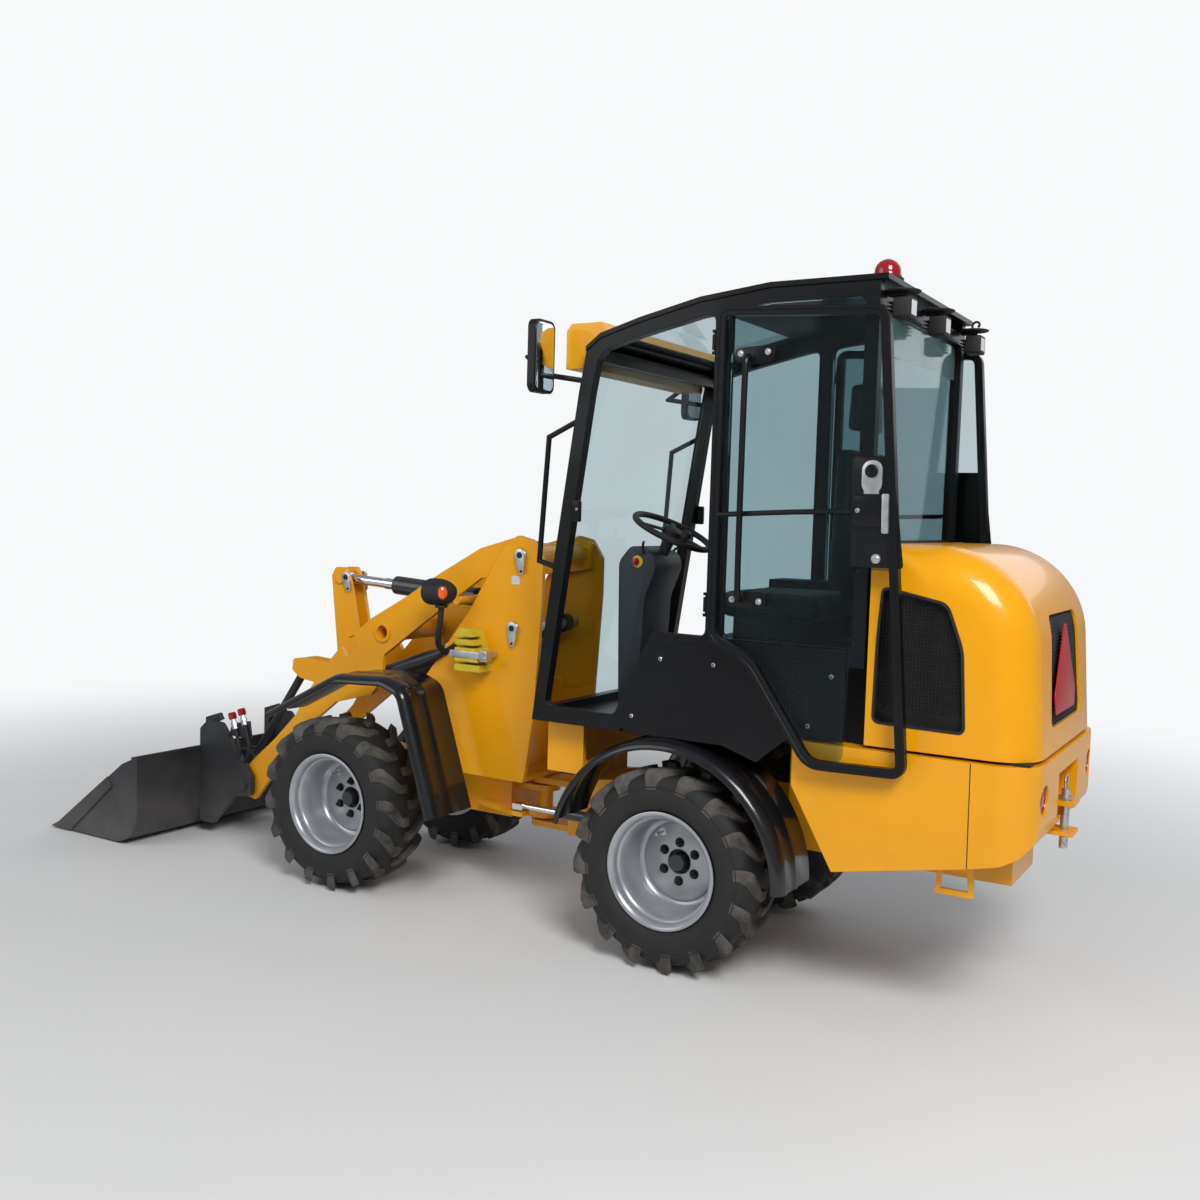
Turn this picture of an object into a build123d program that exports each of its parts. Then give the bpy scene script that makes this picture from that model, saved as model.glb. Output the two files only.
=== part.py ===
from build123d import *
import math
import os

# Articulated compact wheel loader, built at its real size in millimetres.
# +X is the machine's left, -Y its front, +Z up. The origin is on the ground, in the middle
# of the machine's length and width. All side views below are lists of (y, z) points.

# Wheels and axles
wheelbase = 1600
rear_axle_y = 1040
front_axle_y = rear_axle_y - wheelbase
axle_z = 370
tyre_radius = 370
tyre_half = 130
lug_height = 24
lug_count = 16
tyre_sides = 36
wheel_x = 417
rim_radius = 212
bead_radius = 195
spindle_radius = 30
running_gap = 0.05
seat_gap = 0.3

# Centre hinge
hinge_y = 200
hinge_pin_radius = 30
hitch_pin_radius = 14

# Loader linkage, side view pins
boom_pin = (205, 1447)
lift_base_pin = (175, 1149)
lift_rod_pin = (-690, 850)
crank_pin = (-860, 800)
crank_top_pin = (-955, 1289)
crank_low_pin = (-1213, 843)
carrier_pin = (-1385, 280)
carrier_link_pin = (-1560, 360)
tilt_base_pin = (-150, 1241)
pin_radius = 25
small_pin_radius = 20

# Widths across the loader
tower_in, tower_out = 215, 235
boom_in, boom_out = 180, 200
ear_in, ear_out = 210, 235
lift_x = 135

# Cab
cab_side_out = 500
cab_side_in = 460
cab_rear_y = 1740
mirror_x = cab_side_out + 90
mirror_y = 505
door_hinge_y = 1195
door_hinge_x = cab_side_out + 43
door_in, door_out = cab_side_out + 46, cab_side_out + 74
hood_tail = 2280
body_tail = hood_tail + 10
tail_plate_y = body_tail - 130.3
hitch_pin_y = body_tail - 5
roof_line = ((655, 2205), (714, 2249), (877, 2296), (1110, 2350), (1366, 2380), (cab_rear_y, 2380))

os.makedirs("parts", exist_ok=True)


def write_piece(builder, label):
    """Name a finished piece and write it as its own file."""
    builder.part.label = label
    export_step(builder.part, f"parts/{label}.step")


def spans(x_in, x_out):
    """The left and the right span in x of a mirrored pair."""
    return ((x_in, x_out), (-x_out, -x_in))


def outline(x, points, bend=0):
    """A closed flat face in the side view at x, its corners rounded by bend."""
    with BuildSketch(Plane.YZ.offset(x)) as face:
        with BuildLine():
            if bend:
                FilletPolyline(*points, radius=bend, close=True)
            else:
                Polyline(*points, close=True)
        make_face()
    return face.sketch


def side_plate(span, points, bend=0, mode=Mode.ADD):
    """A plate standing in the side view, from span[0] to span[1] in x."""
    extrude(outline(span[0], points, bend), amount=span[1] - span[0], mode=mode)


def cross_bar(span, centre, radius, mode=Mode.ADD):
    """A round bar across the machine at centre (y, z)."""
    with BuildSketch(Plane.YZ.offset(span[0])) as disc:
        with Locations(centre):
            Circle(radius)
    extrude(disc.sketch, amount=span[1] - span[0], mode=mode)


def block(low, high, mode=Mode.ADD):
    """A box between two corners."""
    size = [b - a for a, b in zip(low, high)]
    middle = tuple((a + b) / 2 for a, b in zip(low, high))
    with Locations(middle):
        Box(*size, mode=mode)


def tube(points, radius):
    """A round tube along (x, y, z) points, mitred at its corners."""
    with BuildLine() as path:
        Polyline(*points)
    with BuildSketch(Plane(origin=path.line @ 0, z_dir=path.line % 0)) as section:
        Circle(radius)
    sweep(sections=section.sketch, path=path.line, transition=Transition.RIGHT)


def straight_bar(start, end, radius, mode=Mode.ADD):
    """A straight round bar between two (x, y, z) points."""
    a, b = Vector(*start), Vector(*end)
    with BuildSketch(Plane(origin=a, z_dir=b - a)) as section:
        Circle(radius)
    extrude(section.sketch, amount=(b - a).length, mode=mode)


def along(start, end, distance):
    """The (y, z) point at a distance from start towards end."""
    length = math.dist(start, end)
    return tuple(a + (b - a) * distance / length for a, b in zip(start, end))


# Wheels: tyre with its lugs, and rim with its hub running on the axle's spindle
tread_radius = tyre_radius - lug_height
tyre_sections = (
    # distance from the wheel's middle plane, radius
    (-tyre_half + 28, bead_radius + 8),
    (-tyre_half, 262),
    (-tyre_half, tread_radius - 26),
    (-tyre_half + 30, tread_radius),
    (tyre_half - 30, tread_radius),
    (tyre_half, tread_radius - 26),
    (tyre_half, 262),
    (tyre_half - 28, bead_radius + 8),
)
lug_base, lug_lean = 40, 44
lug_reach = math.sqrt(tyre_radius**2 - (lug_lean + lug_base / 2)**2)
lug_foot = tread_radius - 32
with BuildPart() as tyre_form:
    for x, radius in tyre_sections:
        with BuildSketch(Plane.YZ.offset(x)):
            RegularPolygon(radius, tyre_sides)
    loft(ruled=True)
    with BuildSketch(Plane.YZ.offset(-tyre_half)):
        RegularPolygon(bead_radius + seat_gap, tyre_sides, major_radius=False)
    extrude(amount=2 * tyre_half, mode=Mode.SUBTRACT)
    pitch = 360 / lug_count
    for side in (1, -1):
        planes = []
        for n in range(lug_count):
            turn = math.radians(pitch * (n + (side > 0) / 2))
            out = Vector(0, math.cos(turn), math.sin(turn))
            planes.append(Plane(origin=out * lug_foot, x_dir=(1, 0, 0), z_dir=out))
        with BuildSketch(*planes) as lugs:
            with BuildLine():
                Polyline(
                    (side * 6, lug_lean - lug_base / 2),
                    (side * 6, lug_lean + lug_base / 2),
                    (side * 40, lug_lean),
                    (side * (tyre_half - 2), -lug_lean + lug_base / 2),
                    (side * (tyre_half - 2), -lug_lean - lug_base / 2),
                    close=True,
                )
            make_face()
        extrude(lugs.sketch, amount=lug_reach - lug_foot)
rim_steps = (
    # distance and radius at one end, distance and radius at the other, joined on or cut away
    (-120, rim_radius, -113, rim_radius, Mode.ADD),
    (-113, bead_radius, 113, bead_radius, Mode.ADD),
    (113, rim_radius, 120, rim_radius, Mode.ADD),
    (120, 188, 36, 157, Mode.SUBTRACT),
    (36, 157, 12, 157, Mode.SUBTRACT),
    (-120, 188, 0, 157, Mode.SUBTRACT),
    (-85, 75, 0, 85, Mode.ADD),
    (12, 70, 40, 60, Mode.ADD),
    (40, 40, -5, 40, Mode.SUBTRACT),
)
with BuildPart() as rim_form:
    for x_start, start_radius, x_end, end_radius, mode in rim_steps:
        for x, radius in ((x_start, start_radius), (x_end, end_radius)):
            with BuildSketch(Plane.YZ.offset(x)):
                RegularPolygon(radius, tyre_sides, major_radius=False)
        loft(ruled=True, mode=mode)
    cross_bar((-86, 0), (0, 0), spindle_radius + running_gap, Mode.SUBTRACT)
wheel_places = (
    # name, side, axle y
    ("front_left", 1, front_axle_y),
    ("front_right", -1, front_axle_y),
    ("rear_left", 1, rear_axle_y),
    ("rear_right", -1, rear_axle_y),
)
for place, side, axle_y in wheel_places:
    for form, kind in ((tyre_form, "tyre"), (rim_form, "rim")):
        with BuildPart() as wheel_piece:
            turned = form.part if side > 0 else mirror(form.part, about=Plane.YZ, mode=Mode.PRIVATE)
            add(turned.moved(Location((side * wheel_x, axle_y, axle_z))))
        write_piece(wheel_piece, f"{kind}_{place}")

# Axles: housing, tubes, brake drums and the spindles that carry the hubs
spindle_end = wheel_x - 12
axle_rows = (
    # name, axle y, pad span in x, underside of the rail on it
    ("front_axle", front_axle_y, (95, 115), 435),
    ("rear_axle", rear_axle_y, (130, 160), 434),
)
for name, axle_y, pad, rail_z in axle_rows:
    with BuildPart() as axle:
        cross_bar((-300, 300), (axle_y, axle_z), 48)
        cross_bar((-85, 85), (axle_y, axle_z), 82)
        for span in spans(255, 320):
            cross_bar(span, (axle_y, axle_z), 85)
        for span in spans(320, spindle_end):
            cross_bar(span, (axle_y, axle_z), spindle_radius)
        for span in spans(*pad):
            block((span[0], axle_y - 50, axle_z), (span[1], axle_y + 50, rail_z - seat_gap))
    write_piece(axle, name)

# Front frame: centre rails, hinge lugs and the loader tower's two plates
tower_side = (
    (-95, 520), (-293, 893), (-188, 1030), (-50, 1209), (15, 1316), (110, 1470),
    (185, 1527), (259, 1510), (310, 1434), (310, 1273), (281, 786), (239, 520),
)
front_rail_side = ((-760, 435), (-330, 435), (-290, 335), (100, 335), (100, 520), (-760, 520))
with BuildPart() as front_frame:
    for span in spans(tower_in, tower_out):
        side_plate(span, tower_side, 25)
    block((-tower_out, -95, 520), (tower_out, 235, 540))
    block((-tower_in, 100, 540), (tower_in, 120, 900))
    for span in spans(95, 115):
        side_plate(span, front_rail_side)
    block((-115, -760, 500), (115, 100, 520))
    block((-115, -760, 435), (115, -745, 500))
    block((-115, 85, 335), (115, 100, 500))
    for z_low in (335, 450):
        block((-60, 60, z_low), (60, hinge_y, z_low + 25))
        with BuildSketch(Plane.XY.offset(z_low)):
            with Locations((0, hinge_y)):
                Circle(60)
        extrude(amount=25)
    with BuildSketch(Plane.XY.offset(372)):
        with BuildLine():
            Polyline((100, -40), (100, 60), (165, 225), (215, 225), (215, 170), (150, -40), close=True)
        make_face()
    extrude(amount=20)
    with BuildSketch(Plane.XY.offset(330)):
        with Locations((0, hinge_y)):
            Circle(hinge_pin_radius + running_gap)
    extrude(amount=150, mode=Mode.SUBTRACT)
    for pin in (boom_pin, lift_base_pin):
        cross_bar((-tower_out - 1, tower_out + 1), pin, pin_radius + seat_gap, Mode.SUBTRACT)
write_piece(front_frame, "front_frame")

# Tower pins with their keeper plates
with BuildPart() as tower_pins:
    for pin in (boom_pin, lift_base_pin):
        cross_bar((-tower_out - 10, tower_out + 10), pin, pin_radius)
        for span in spans(tower_out + seat_gap, tower_out + 10):
            y, z = pin
            side_plate(span, ((y - 38, z + 34), (y + 38, z + 34), (y + 14, z - 70), (y - 14, z - 70)), 12)
write_piece(tower_pins, "tower_pins")

# Boom: two side plates joined by cross tubes
boom_side = (
    (275, 1385), (275, 1500), (160, 1520), (-27, 1466), (-237, 1352), (-428, 1238), (-621, 1133),
    (-774, 1023), (-894, 899), (-999, 773), (-1080, 650), (-1215, 520), (-1360, 400),
    (-1445, 320), (-1430, 225), (-1340, 210), (-1240, 330), (-1060, 560), (-830, 735),
    (-620, 790), (-560, 861), (-548, 974), (-341, 1122), (-24, 1341),
)
boom_tube = (-556, 1075)
boom_window = ((-812, 1008), (-722, 1052), (-700, 1015), (-765, 944))
with BuildPart() as boom:
    for span in spans(boom_in, boom_out):
        side_plate(span, boom_side, 14)
        side_plate(span, boom_window, 12, Mode.SUBTRACT)
    cross_bar((-boom_in, boom_in), boom_pin, 48)
    cross_bar((-boom_out - 6, boom_out + 6), boom_tube, 45)
    cross_bar((-boom_in, boom_in), (-1310, 330), 30)
    cross_bar((-boom_out, boom_out), crank_pin, pin_radius)
    cross_bar((-boom_out, boom_out), tilt_base_pin, small_pin_radius)
    for span in spans(163, boom_in):
        cross_bar(span, lift_rod_pin, 32)
    cross_bar((-boom_out - 7, boom_out + 7), boom_tube, 30, Mode.SUBTRACT)
    cross_bar((-boom_out, boom_out), boom_pin, pin_radius + running_gap, Mode.SUBTRACT)
    for span in spans(boom_in - 1, boom_out + 1):
        cross_bar(span, carrier_pin, pin_radius + running_gap, Mode.SUBTRACT)
write_piece(boom, "boom")

# Lift cylinders: barrels hinged on the tower, rods sliding in them
lift_length = math.dist(lift_base_pin, lift_rod_pin)


def lift_point(x, distance):
    return (x, *along(lift_base_pin, lift_rod_pin, distance))


with BuildPart() as lift_barrels:
    for x in (lift_x, -lift_x):
        straight_bar(lift_point(x, 38), lift_point(x, 840), 35)
        cross_bar((x - 20, x + 20), lift_base_pin, 40)
        straight_bar(lift_point(x, 60), lift_point(x, 815), 28, Mode.SUBTRACT)
        straight_bar(lift_point(x, 810), lift_point(x, 841), 20 + running_gap, Mode.SUBTRACT)
        cross_bar((x - 36, x + 36), lift_base_pin, pin_radius + running_gap, Mode.SUBTRACT)
write_piece(lift_barrels, "lift_barrels")
with BuildPart() as lift_rods:
    for x in (lift_x, -lift_x):
        straight_bar(lift_point(x, 420), lift_point(x, lift_length - 20), 20)
        cross_bar((x - 20, x + 20), lift_rod_pin, 38)
        cross_bar((x - 21, x + 21), lift_rod_pin, pin_radius, Mode.SUBTRACT)
write_piece(lift_rods, "lift_rods")

# Tilt cylinder in the middle of the boom
tilt_length = math.dist(tilt_base_pin, crank_top_pin)


def tilt_point(distance):
    return (0, *along(tilt_base_pin, crank_top_pin, distance))


with BuildPart() as tilt_barrel:
    straight_bar(tilt_point(36), tilt_point(500), 42)
    cross_bar((-25, 25), tilt_base_pin, 40)
    straight_bar(tilt_point(60), tilt_point(475), 34, Mode.SUBTRACT)
    straight_bar(tilt_point(470), tilt_point(501), 22 + running_gap, Mode.SUBTRACT)
    cross_bar((-43, 43), tilt_base_pin, small_pin_radius + running_gap, Mode.SUBTRACT)
write_piece(tilt_barrel, "tilt_barrel")
with BuildPart() as tilt_rod:
    straight_bar(tilt_point(300), tilt_point(tilt_length - 20), 22)
    cross_bar((-22, 22), crank_top_pin, 36)
    cross_bar((-23, 23), crank_top_pin, small_pin_radius, Mode.SUBTRACT)
write_piece(tilt_rod, "tilt_rod")

# Bell crank on the boom, its top arm on the tilt cylinder and its front arm on the link
crank_side = (
    (-1010, 1300), (-985, 1340), (-925, 1340), (-890, 1270), (-800, 860), (-800, 760),
    (-870, 735), (-940, 760), (-1210, 795), (-1262, 830), (-1255, 885), (-1190, 895), (-960, 880),
)
with BuildPart() as bell_crank:
    for span in spans(30, 48):
        side_plate(span, crank_side, 16)
    cross_bar((-90, 90), crank_pin, 42)
    cross_bar((-48, 48), crank_low_pin, small_pin_radius)
    for span in spans(48, 56):
        cross_bar(span, crank_top_pin, 26)
    cross_bar((-91, 91), crank_pin, pin_radius + running_gap, Mode.SUBTRACT)
write_piece(bell_crank, "bell_crank")

# Link from the bell crank down to the tool carrier
with BuildPart() as tip_link:
    straight_bar((0, *crank_low_pin), (0, *carrier_link_pin), 20)
    cross_bar((-20, 20), crank_low_pin, 36)
    cross_bar((-20, 20), carrier_link_pin, 34)
    cross_bar((-21, 21), crank_low_pin, small_pin_radius + running_gap, Mode.SUBTRACT)
    cross_bar((-21, 21), carrier_link_pin, small_pin_radius, Mode.SUBTRACT)
write_piece(tip_link, "tip_link")

# Tool carrier: side plates on the boom's tip, cross plate behind the bucket
bucket_back_y = -1693
carrier_side = (
    (-1335, 235), (-1335, 325), (-1545, 560), (-1640, 565), (bucket_back_y + seat_gap, 520),
    (bucket_back_y + seat_gap, 60), (-1600, 60), (-1450, 215),
)
with BuildPart() as tool_carrier:
    for span in spans(ear_in, ear_out):
        side_plate(span, carrier_side, 18)
    for span in spans(boom_in - 5, ear_out + 14):
        cross_bar(span, carrier_pin, pin_radius)
    block((-ear_in, bucket_back_y + seat_gap, 60), (ear_in, -1672, 380))
    for span in spans(26, 42):
        side_plate(span, ((-1672, 280), (-1672, 400), (-1560, 400), (-1520, 360), (-1560, 320)), 14)
write_piece(tool_carrier, "tool_carrier")

# Bucket: curved shell between two side plates
lip_y = -2330
bucket_bottom = 10
bucket_top = 432
wall = 14
corner = 157
half_bucket = 600
lip_depth = 120
rake_top = (bucket_back_y - 108, 385)
rake_foot = (lip_y + 60, 40)


def bucket_section(x, open_front):
    """The bucket's side view: the full outline, or the shell strip alone."""
    with BuildSketch(Plane.YZ.offset(x)) as face:
        with BuildLine():
            Line((lip_y, bucket_bottom), (bucket_back_y - corner, bucket_bottom))
            ThreePointArc(
                (bucket_back_y - corner, bucket_bottom),
                (bucket_back_y - corner * (1 - math.sqrt(0.5)), bucket_bottom + corner * (1 - math.sqrt(0.5))),
                (bucket_back_y, bucket_bottom + corner),
            )
            Line((bucket_back_y, bucket_bottom + corner), (bucket_back_y, bucket_top))
            if open_front:
                inner = corner - wall
                Line((bucket_back_y, bucket_top), (bucket_back_y - wall, bucket_top))
                Line((bucket_back_y - wall, bucket_top), (bucket_back_y - wall, bucket_bottom + corner))
                ThreePointArc(
                    (bucket_back_y - wall, bucket_bottom + corner),
                    (bucket_back_y - corner + inner * math.sqrt(0.5), bucket_bottom + corner - inner * math.sqrt(0.5)),
                    (bucket_back_y - corner, bucket_bottom + wall),
                )
                Line((bucket_back_y - corner, bucket_bottom + wall), (lip_y + 60, bucket_bottom + wall))
                Line((lip_y + 60, bucket_bottom + wall), (lip_y, bucket_bottom))
            else:
                Polyline((bucket_back_y, bucket_top), rake_top, rake_foot, (lip_y, bucket_bottom))
        make_face()
    return face.sketch


with BuildPart() as bucket:
    extrude(bucket_section(-half_bucket, True), amount=2 * half_bucket)
    for span in spans(half_bucket - 12, half_bucket):
        extrude(bucket_section(span[0], False), amount=12)
    for span in spans(180, 200):
        side_plate(span, (
            (bucket_back_y, 385), (bucket_back_y, 570), (-1600, 600), (-1580, 570), (-1660, 535), (-1660, 385),
        ))
    side_plate((-half_bucket, half_bucket), (
        (lip_y, bucket_bottom), (lip_y + 60, bucket_bottom + 24),
        (lip_y + lip_depth, bucket_bottom + 24), (lip_y + lip_depth, bucket_bottom),
    ))
    side_plate((-half_bucket, half_bucket), (
        (bucket_back_y - wall, bucket_top - 40), (bucket_back_y - wall - 26, bucket_top - 30),
        (bucket_back_y - wall - 26, bucket_top - 6), (bucket_back_y - wall, bucket_top),
    ))
    side_edge_end = along(rake_foot, rake_top, 460)
    for span in spans(half_bucket - 12, half_bucket + 8):
        side_plate(span, (
            (lip_y, bucket_bottom), rake_foot, side_edge_end,
            (side_edge_end[0] + 30, side_edge_end[1] - 45), (lip_y + 150, bucket_bottom),
        ))
write_piece(bucket, "bucket")

# Front fenders, bent sheets on brackets from the tower
sheet = 8
front_fender_top = ((-912, 725), (-516, 924), (-243, 937), (-137, 899), (29, 400))
fender_in, fender_out = 300, 560
fender_lip = 28
with BuildPart() as front_fenders:
    fender_strips = ((spans(fender_in, fender_out), sheet), (spans(fender_out - sheet, fender_out), fender_lip))
    for strip_spans, depth in fender_strips:
        with BuildSketch(Plane.YZ) as strip:
            with BuildLine() as run:
                FilletPolyline(*front_fender_top, radius=60)
                offset(amount=depth, side=Side.RIGHT)
            make_face()
        for span in strip_spans:
            extrude(strip.sketch.moved(Location((span[0], 0, 0))), amount=span[1] - span[0])
    for span in spans(tower_out + seat_gap, 420):
        block((span[0], -283, 885), (span[1], -259, 926.7))
write_piece(front_fenders, "front_fenders")

# Front lamps on stalks from the tower
lamp_x = 330
with BuildPart() as front_lamps:
    for side in (1, -1):
        x_low, x_high = sorted((side * (lamp_x - 72), side * (lamp_x + 72)))
        side_plate((x_low, x_high), (
            (-182, 1228), (-182, 1338), (-95, 1330), (-60, 1290), (-60, 1255), (-95, 1225),
        ), 14)
        tube(((side * lamp_x, -110, 1235), (side * lamp_x, -110, 1110), (side * (lamp_x - 25), -170, 1020),
              (side * (tower_out + seat_gap), -170, 1020)), 14)
write_piece(front_lamps, "front_lamps")

# Wheel chock in its holder on the tower's left side, a ribbed wedge
with BuildPart() as wheel_chock:
    side_plate((tower_out + seat_gap, 325), (
        (-55, 965), (-55, 1120), (-30, 1140), (20, 1140), (70, 985), (70, 965),
    ))
    for n in range(4):
        z_low = 992 + 34 * n
        block((tower_out + 30, -70, z_low), (326, 90, z_low + 12), Mode.SUBTRACT)
write_piece(wheel_chock, "wheel_chock")

# Rear frame: hinge lugs and pin, neck, two long rails, cab mounts and the end plate
rail_in, rail_out = 130, 160
deck_z = 1150
floor_z = 842
steer_x = 190
steer_z = 412
steer_base_y = 760
with BuildPart() as rear_frame:
    for z_low in (300, 485):
        block((-60, hinge_y, z_low), (60, 400, z_low + 25))
        with BuildSketch(Plane.XY.offset(z_low)):
            with Locations((0, hinge_y)):
                Circle(60)
        extrude(amount=25)
    with BuildSketch(Plane.XY.offset(300)):
        with Locations((0, hinge_y)):
            Circle(hinge_pin_radius)
    extrude(amount=210)
    block((-100, 375, 300), (100, 400, 510))
    for span in spans(80, 100):
        block((span[0], 400, 300), (span[1], 520, 510))
    block((-rail_out, 500, 300), (rail_out, 520, 560))
    for span in spans(rail_in, rail_out):
        side_plate(span, ((520, 434), (520, 560), (800, 600), (tail_plate_y, 600), (tail_plate_y, 434)))
        block((span[0], 1365, 600), (span[1], 1405, deck_z - seat_gap))
    block((-rail_in, tail_plate_y - 29.7, 434), (rail_in, tail_plate_y, 600))
    block((-rail_in, 1300, 434), (rail_in, 1330, 520))
    block((-420, 480, 640), (420, 500, floor_z - seat_gap))
    block((-rail_out, 480, 540), (rail_out, 500, 640))
    for span in spans(400, 420):
        block((span[0], 500, 640), (span[1], 640, floor_z - seat_gap))
    for span in spans(rail_out, 400):
        block((span[0], 1020, 815), (span[1], 1060, 829.2))
    for span in spans(rail_in, rail_out):
        block((span[0], 1020, 600), (span[1] + 20 * (span[0] > 0), 1060, 829.2))
    block((rail_out, steer_base_y, 384), (steer_x + 25, steer_base_y + 60, 440))
write_piece(rear_frame, "rear_frame")

# Steering cylinder on the left of the hinge, its rod eye over the front frame's arm
with BuildPart() as steering_barrel:
    straight_bar((steer_x, steer_base_y - seat_gap, steer_z), (steer_x, 400, steer_z), 22)
    straight_bar((steer_x, steer_base_y - 25, steer_z), (steer_x, 410, steer_z), 17, Mode.SUBTRACT)
    straight_bar((steer_x, 411, steer_z), (steer_x, 399, steer_z), 12 + running_gap, Mode.SUBTRACT)
write_piece(steering_barrel, "steering_barrel")
with BuildPart() as steering_rod:
    straight_bar((steer_x, 565, steer_z), (steer_x, hinge_y + 20, steer_z), 12)
    block((steer_x - 25, hinge_y - 25, steer_z - 12), (steer_x + 25, hinge_y + 25, steer_z + 12))
write_piece(steering_rod, "steering_rod")

# Engine block between the rails
with BuildPart() as engine:
    block((-150, 1420, 600 + seat_gap), (150, 2050, 1120))
write_piece(engine, "engine")

# Rear fenders, arched sheets about the rear axle
fender_radius = 468
with BuildPart() as rear_fenders:
    rear_strips = ((spans(fender_in, fender_out), sheet), (spans(fender_out - sheet, fender_out), fender_lip))
    for strip_spans, depth in rear_strips:
        with BuildSketch(Plane.YZ) as arch:
            with Locations((rear_axle_y, axle_z)):
                Circle(fender_radius)
                Circle(fender_radius - depth, mode=Mode.SUBTRACT)
            with Locations((rear_axle_y, axle_z - 250)):
                Rectangle(1000, 500, mode=Mode.SUBTRACT)
            with Locations((rear_axle_y - 480, axle_z)):
                Rectangle(90, 230, mode=Mode.SUBTRACT)
        for span in strip_spans:
            extrude(arch.sketch.moved(Location((span[0], 0, 0))), amount=span[1] - span[0])
write_piece(rear_fenders, "rear_fenders")

# Cab frame: two sides with their openings, joined by bars across
cab_side = (
    (457, 842), (549, 1520), (628, 2060), *roof_line,
    (cab_rear_y, 1150), (982, 1150), (950, 1100), (840, 842),
)
door_gap = (
    (512, 900), (602, 1520), (680, 2055), (704, 2175), (735, 2208), (877, 2248), (1110, 2300),
    (1170, 2308), (1170, 1210), (960, 1210), (925, 1140), (815, 900),
)
quarter_gap = ((1225, 2315), (1366, 2332), (1695, 2332), (1695, 1210), (1225, 1210))
with BuildPart() as cab_frame:
    for span in spans(cab_side_in, cab_side_out):
        side_plate(span, cab_side)
        side_plate(span, door_gap, 25, Mode.SUBTRACT)
        side_plate(span, quarter_gap, 25, Mode.SUBTRACT)
    block((-cab_side_in, 457, 842), (cab_side_in, 500, 890))
    block((-cab_side_in, 668, 2170), (cab_side_in, 708, 2214))
    block((-cab_side_in, cab_rear_y - 45, 2300), (cab_side_in, cab_rear_y, 2345))
    block((-cab_side_in, cab_rear_y - 45, 1510), (cab_side_in, cab_rear_y, 1560))
    block((-cab_side_in, cab_rear_y - 45, 1150), (cab_side_in, cab_rear_y, 1200))
    block((-cab_side_in, cab_rear_y - 10, 1200), (cab_side_in, cab_rear_y, 1510))
    for side in (1, -1):
        post_x = side * (cab_side_in + cab_side_out) / 2
        tube(((post_x, 650, 2100), (post_x, 465, 2130), (side * mirror_x, 465, 2180),
              (side * mirror_x, mirror_y - seat_gap, 2180)), 10)
        tube(((post_x, 550, 1415), (post_x, 460, 1440), (post_x, 490, 1900), (post_x, 630, 1965)), 10)
write_piece(cab_frame, "cab_frame")

# Roof sheet on the frame's rails, with a glass panel at its front
roof_sheet = 18
roof_y_end = cab_rear_y + 25
pane_y = (740, 1090)
pane_x = 375
pane_rise = (6, 12)


def roof_strip(low_z, high_z):
    """The roof's bent outline in the side view, between two heights over the cab frame."""
    lower = [(y, z + low_z) for y, z in (*roof_line[:-1], (roof_y_end, roof_line[-1][1]))]
    upper = [(y, z + high_z) for y, z in reversed((*roof_line[:-1], (roof_y_end, roof_line[-1][1])))]
    return (*lower, *upper)


with BuildPart() as roof:
    side_plate((-cab_side_out - 5, cab_side_out + 5), roof_strip(seat_gap, roof_sheet))
    block((-pane_x, pane_y[0], 2100), (pane_x, pane_y[1], 2500), Mode.SUBTRACT)
write_piece(roof, "roof")
with BuildPart() as roof_pane:
    side_plate((-pane_x + seat_gap, pane_x - seat_gap), roof_strip(*pane_rise))
    block((-pane_x, pane_y[0] + seat_gap, 2100), (pane_x, pane_y[1] - seat_gap, 2500), Mode.INTERSECT)

# Front visor over the windscreen
with BuildPart() as front_visor:
    side_plate((-cab_side_in + 5, cab_side_in - 5), (
        (540, 2150), (540, 2290), (560, 2315), (690, 2315), (713, 2267.6), (654.7, 2223.9), (640, 2150),
    ))
write_piece(front_visor, "front_visor")

# Cab tub: floor, seat box and the lower side panels
with BuildPart() as cab_tub:
    block((-459.7, 500.3, floor_z), (459.7, 1000, floor_z + 18))
    block((-459.7, 985, floor_z + 18), (459.7, 1000, deck_z))
    block((-459.7, 985, deck_z), (459.7, 1694.7, deck_z + 18))
    for span in spans(cab_side_out + seat_gap, cab_side_out + 6.3):
        side_plate(span, (
            (845, 860), (955, 1130), (985, 1150), (1180, 1190), (1200, 1200), (1680, 1200),
            (1680, 905), (1500, 905), (1380, 800), (1250, 842), (880, 842),
        ))
write_piece(cab_tub, "cab_tub")

# Glass: windscreen, rear window and rear quarters
glass_half = cab_side_in - seat_gap
with BuildPart() as cab_glass:
    side_plate((-glass_half, glass_half), (
        (480, 890.3), (566, 1520), (645, 2060), (664, 2169.7), (658, 2169.7), (639, 2060), (560, 1520), (474, 890.3),
    ))
    block((-glass_half, cab_rear_y - 25, 1560 + seat_gap), (glass_half, cab_rear_y - 19, 2300 - seat_gap))
    for span in spans(475, 481):
        side_plate(span, (
            (1225.3, 2314.6), (1366, 2331.7), (1694.7, 2331.7), (1694.7, 1210.3), (1225.3, 1210.3),
        ), 25)
    add(roof_pane.part)
write_piece(cab_glass, "cab_glass")

# Doors, stored open against the hood
door_side = (
    (1211, 2318), (1795, 2287), (1912, 900), (1905, 830), (1581, 817), (1354, 1144), (1211, 1205),
)
hinge_heights = (1300, 2180)
rail_y = door_hinge_y + 70
rail_z = (1375, 2150)
hinge_rod = 7


def door_face(x, inset):
    """The door's outline in the side view, moved inwards by inset."""
    with BuildSketch(Plane.YZ.offset(x)) as face:
        with BuildLine():
            FilletPolyline(*door_side, radius=20, close=True)
        make_face()
        if inset:
            offset(amount=-inset)
    return face.sketch


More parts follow.
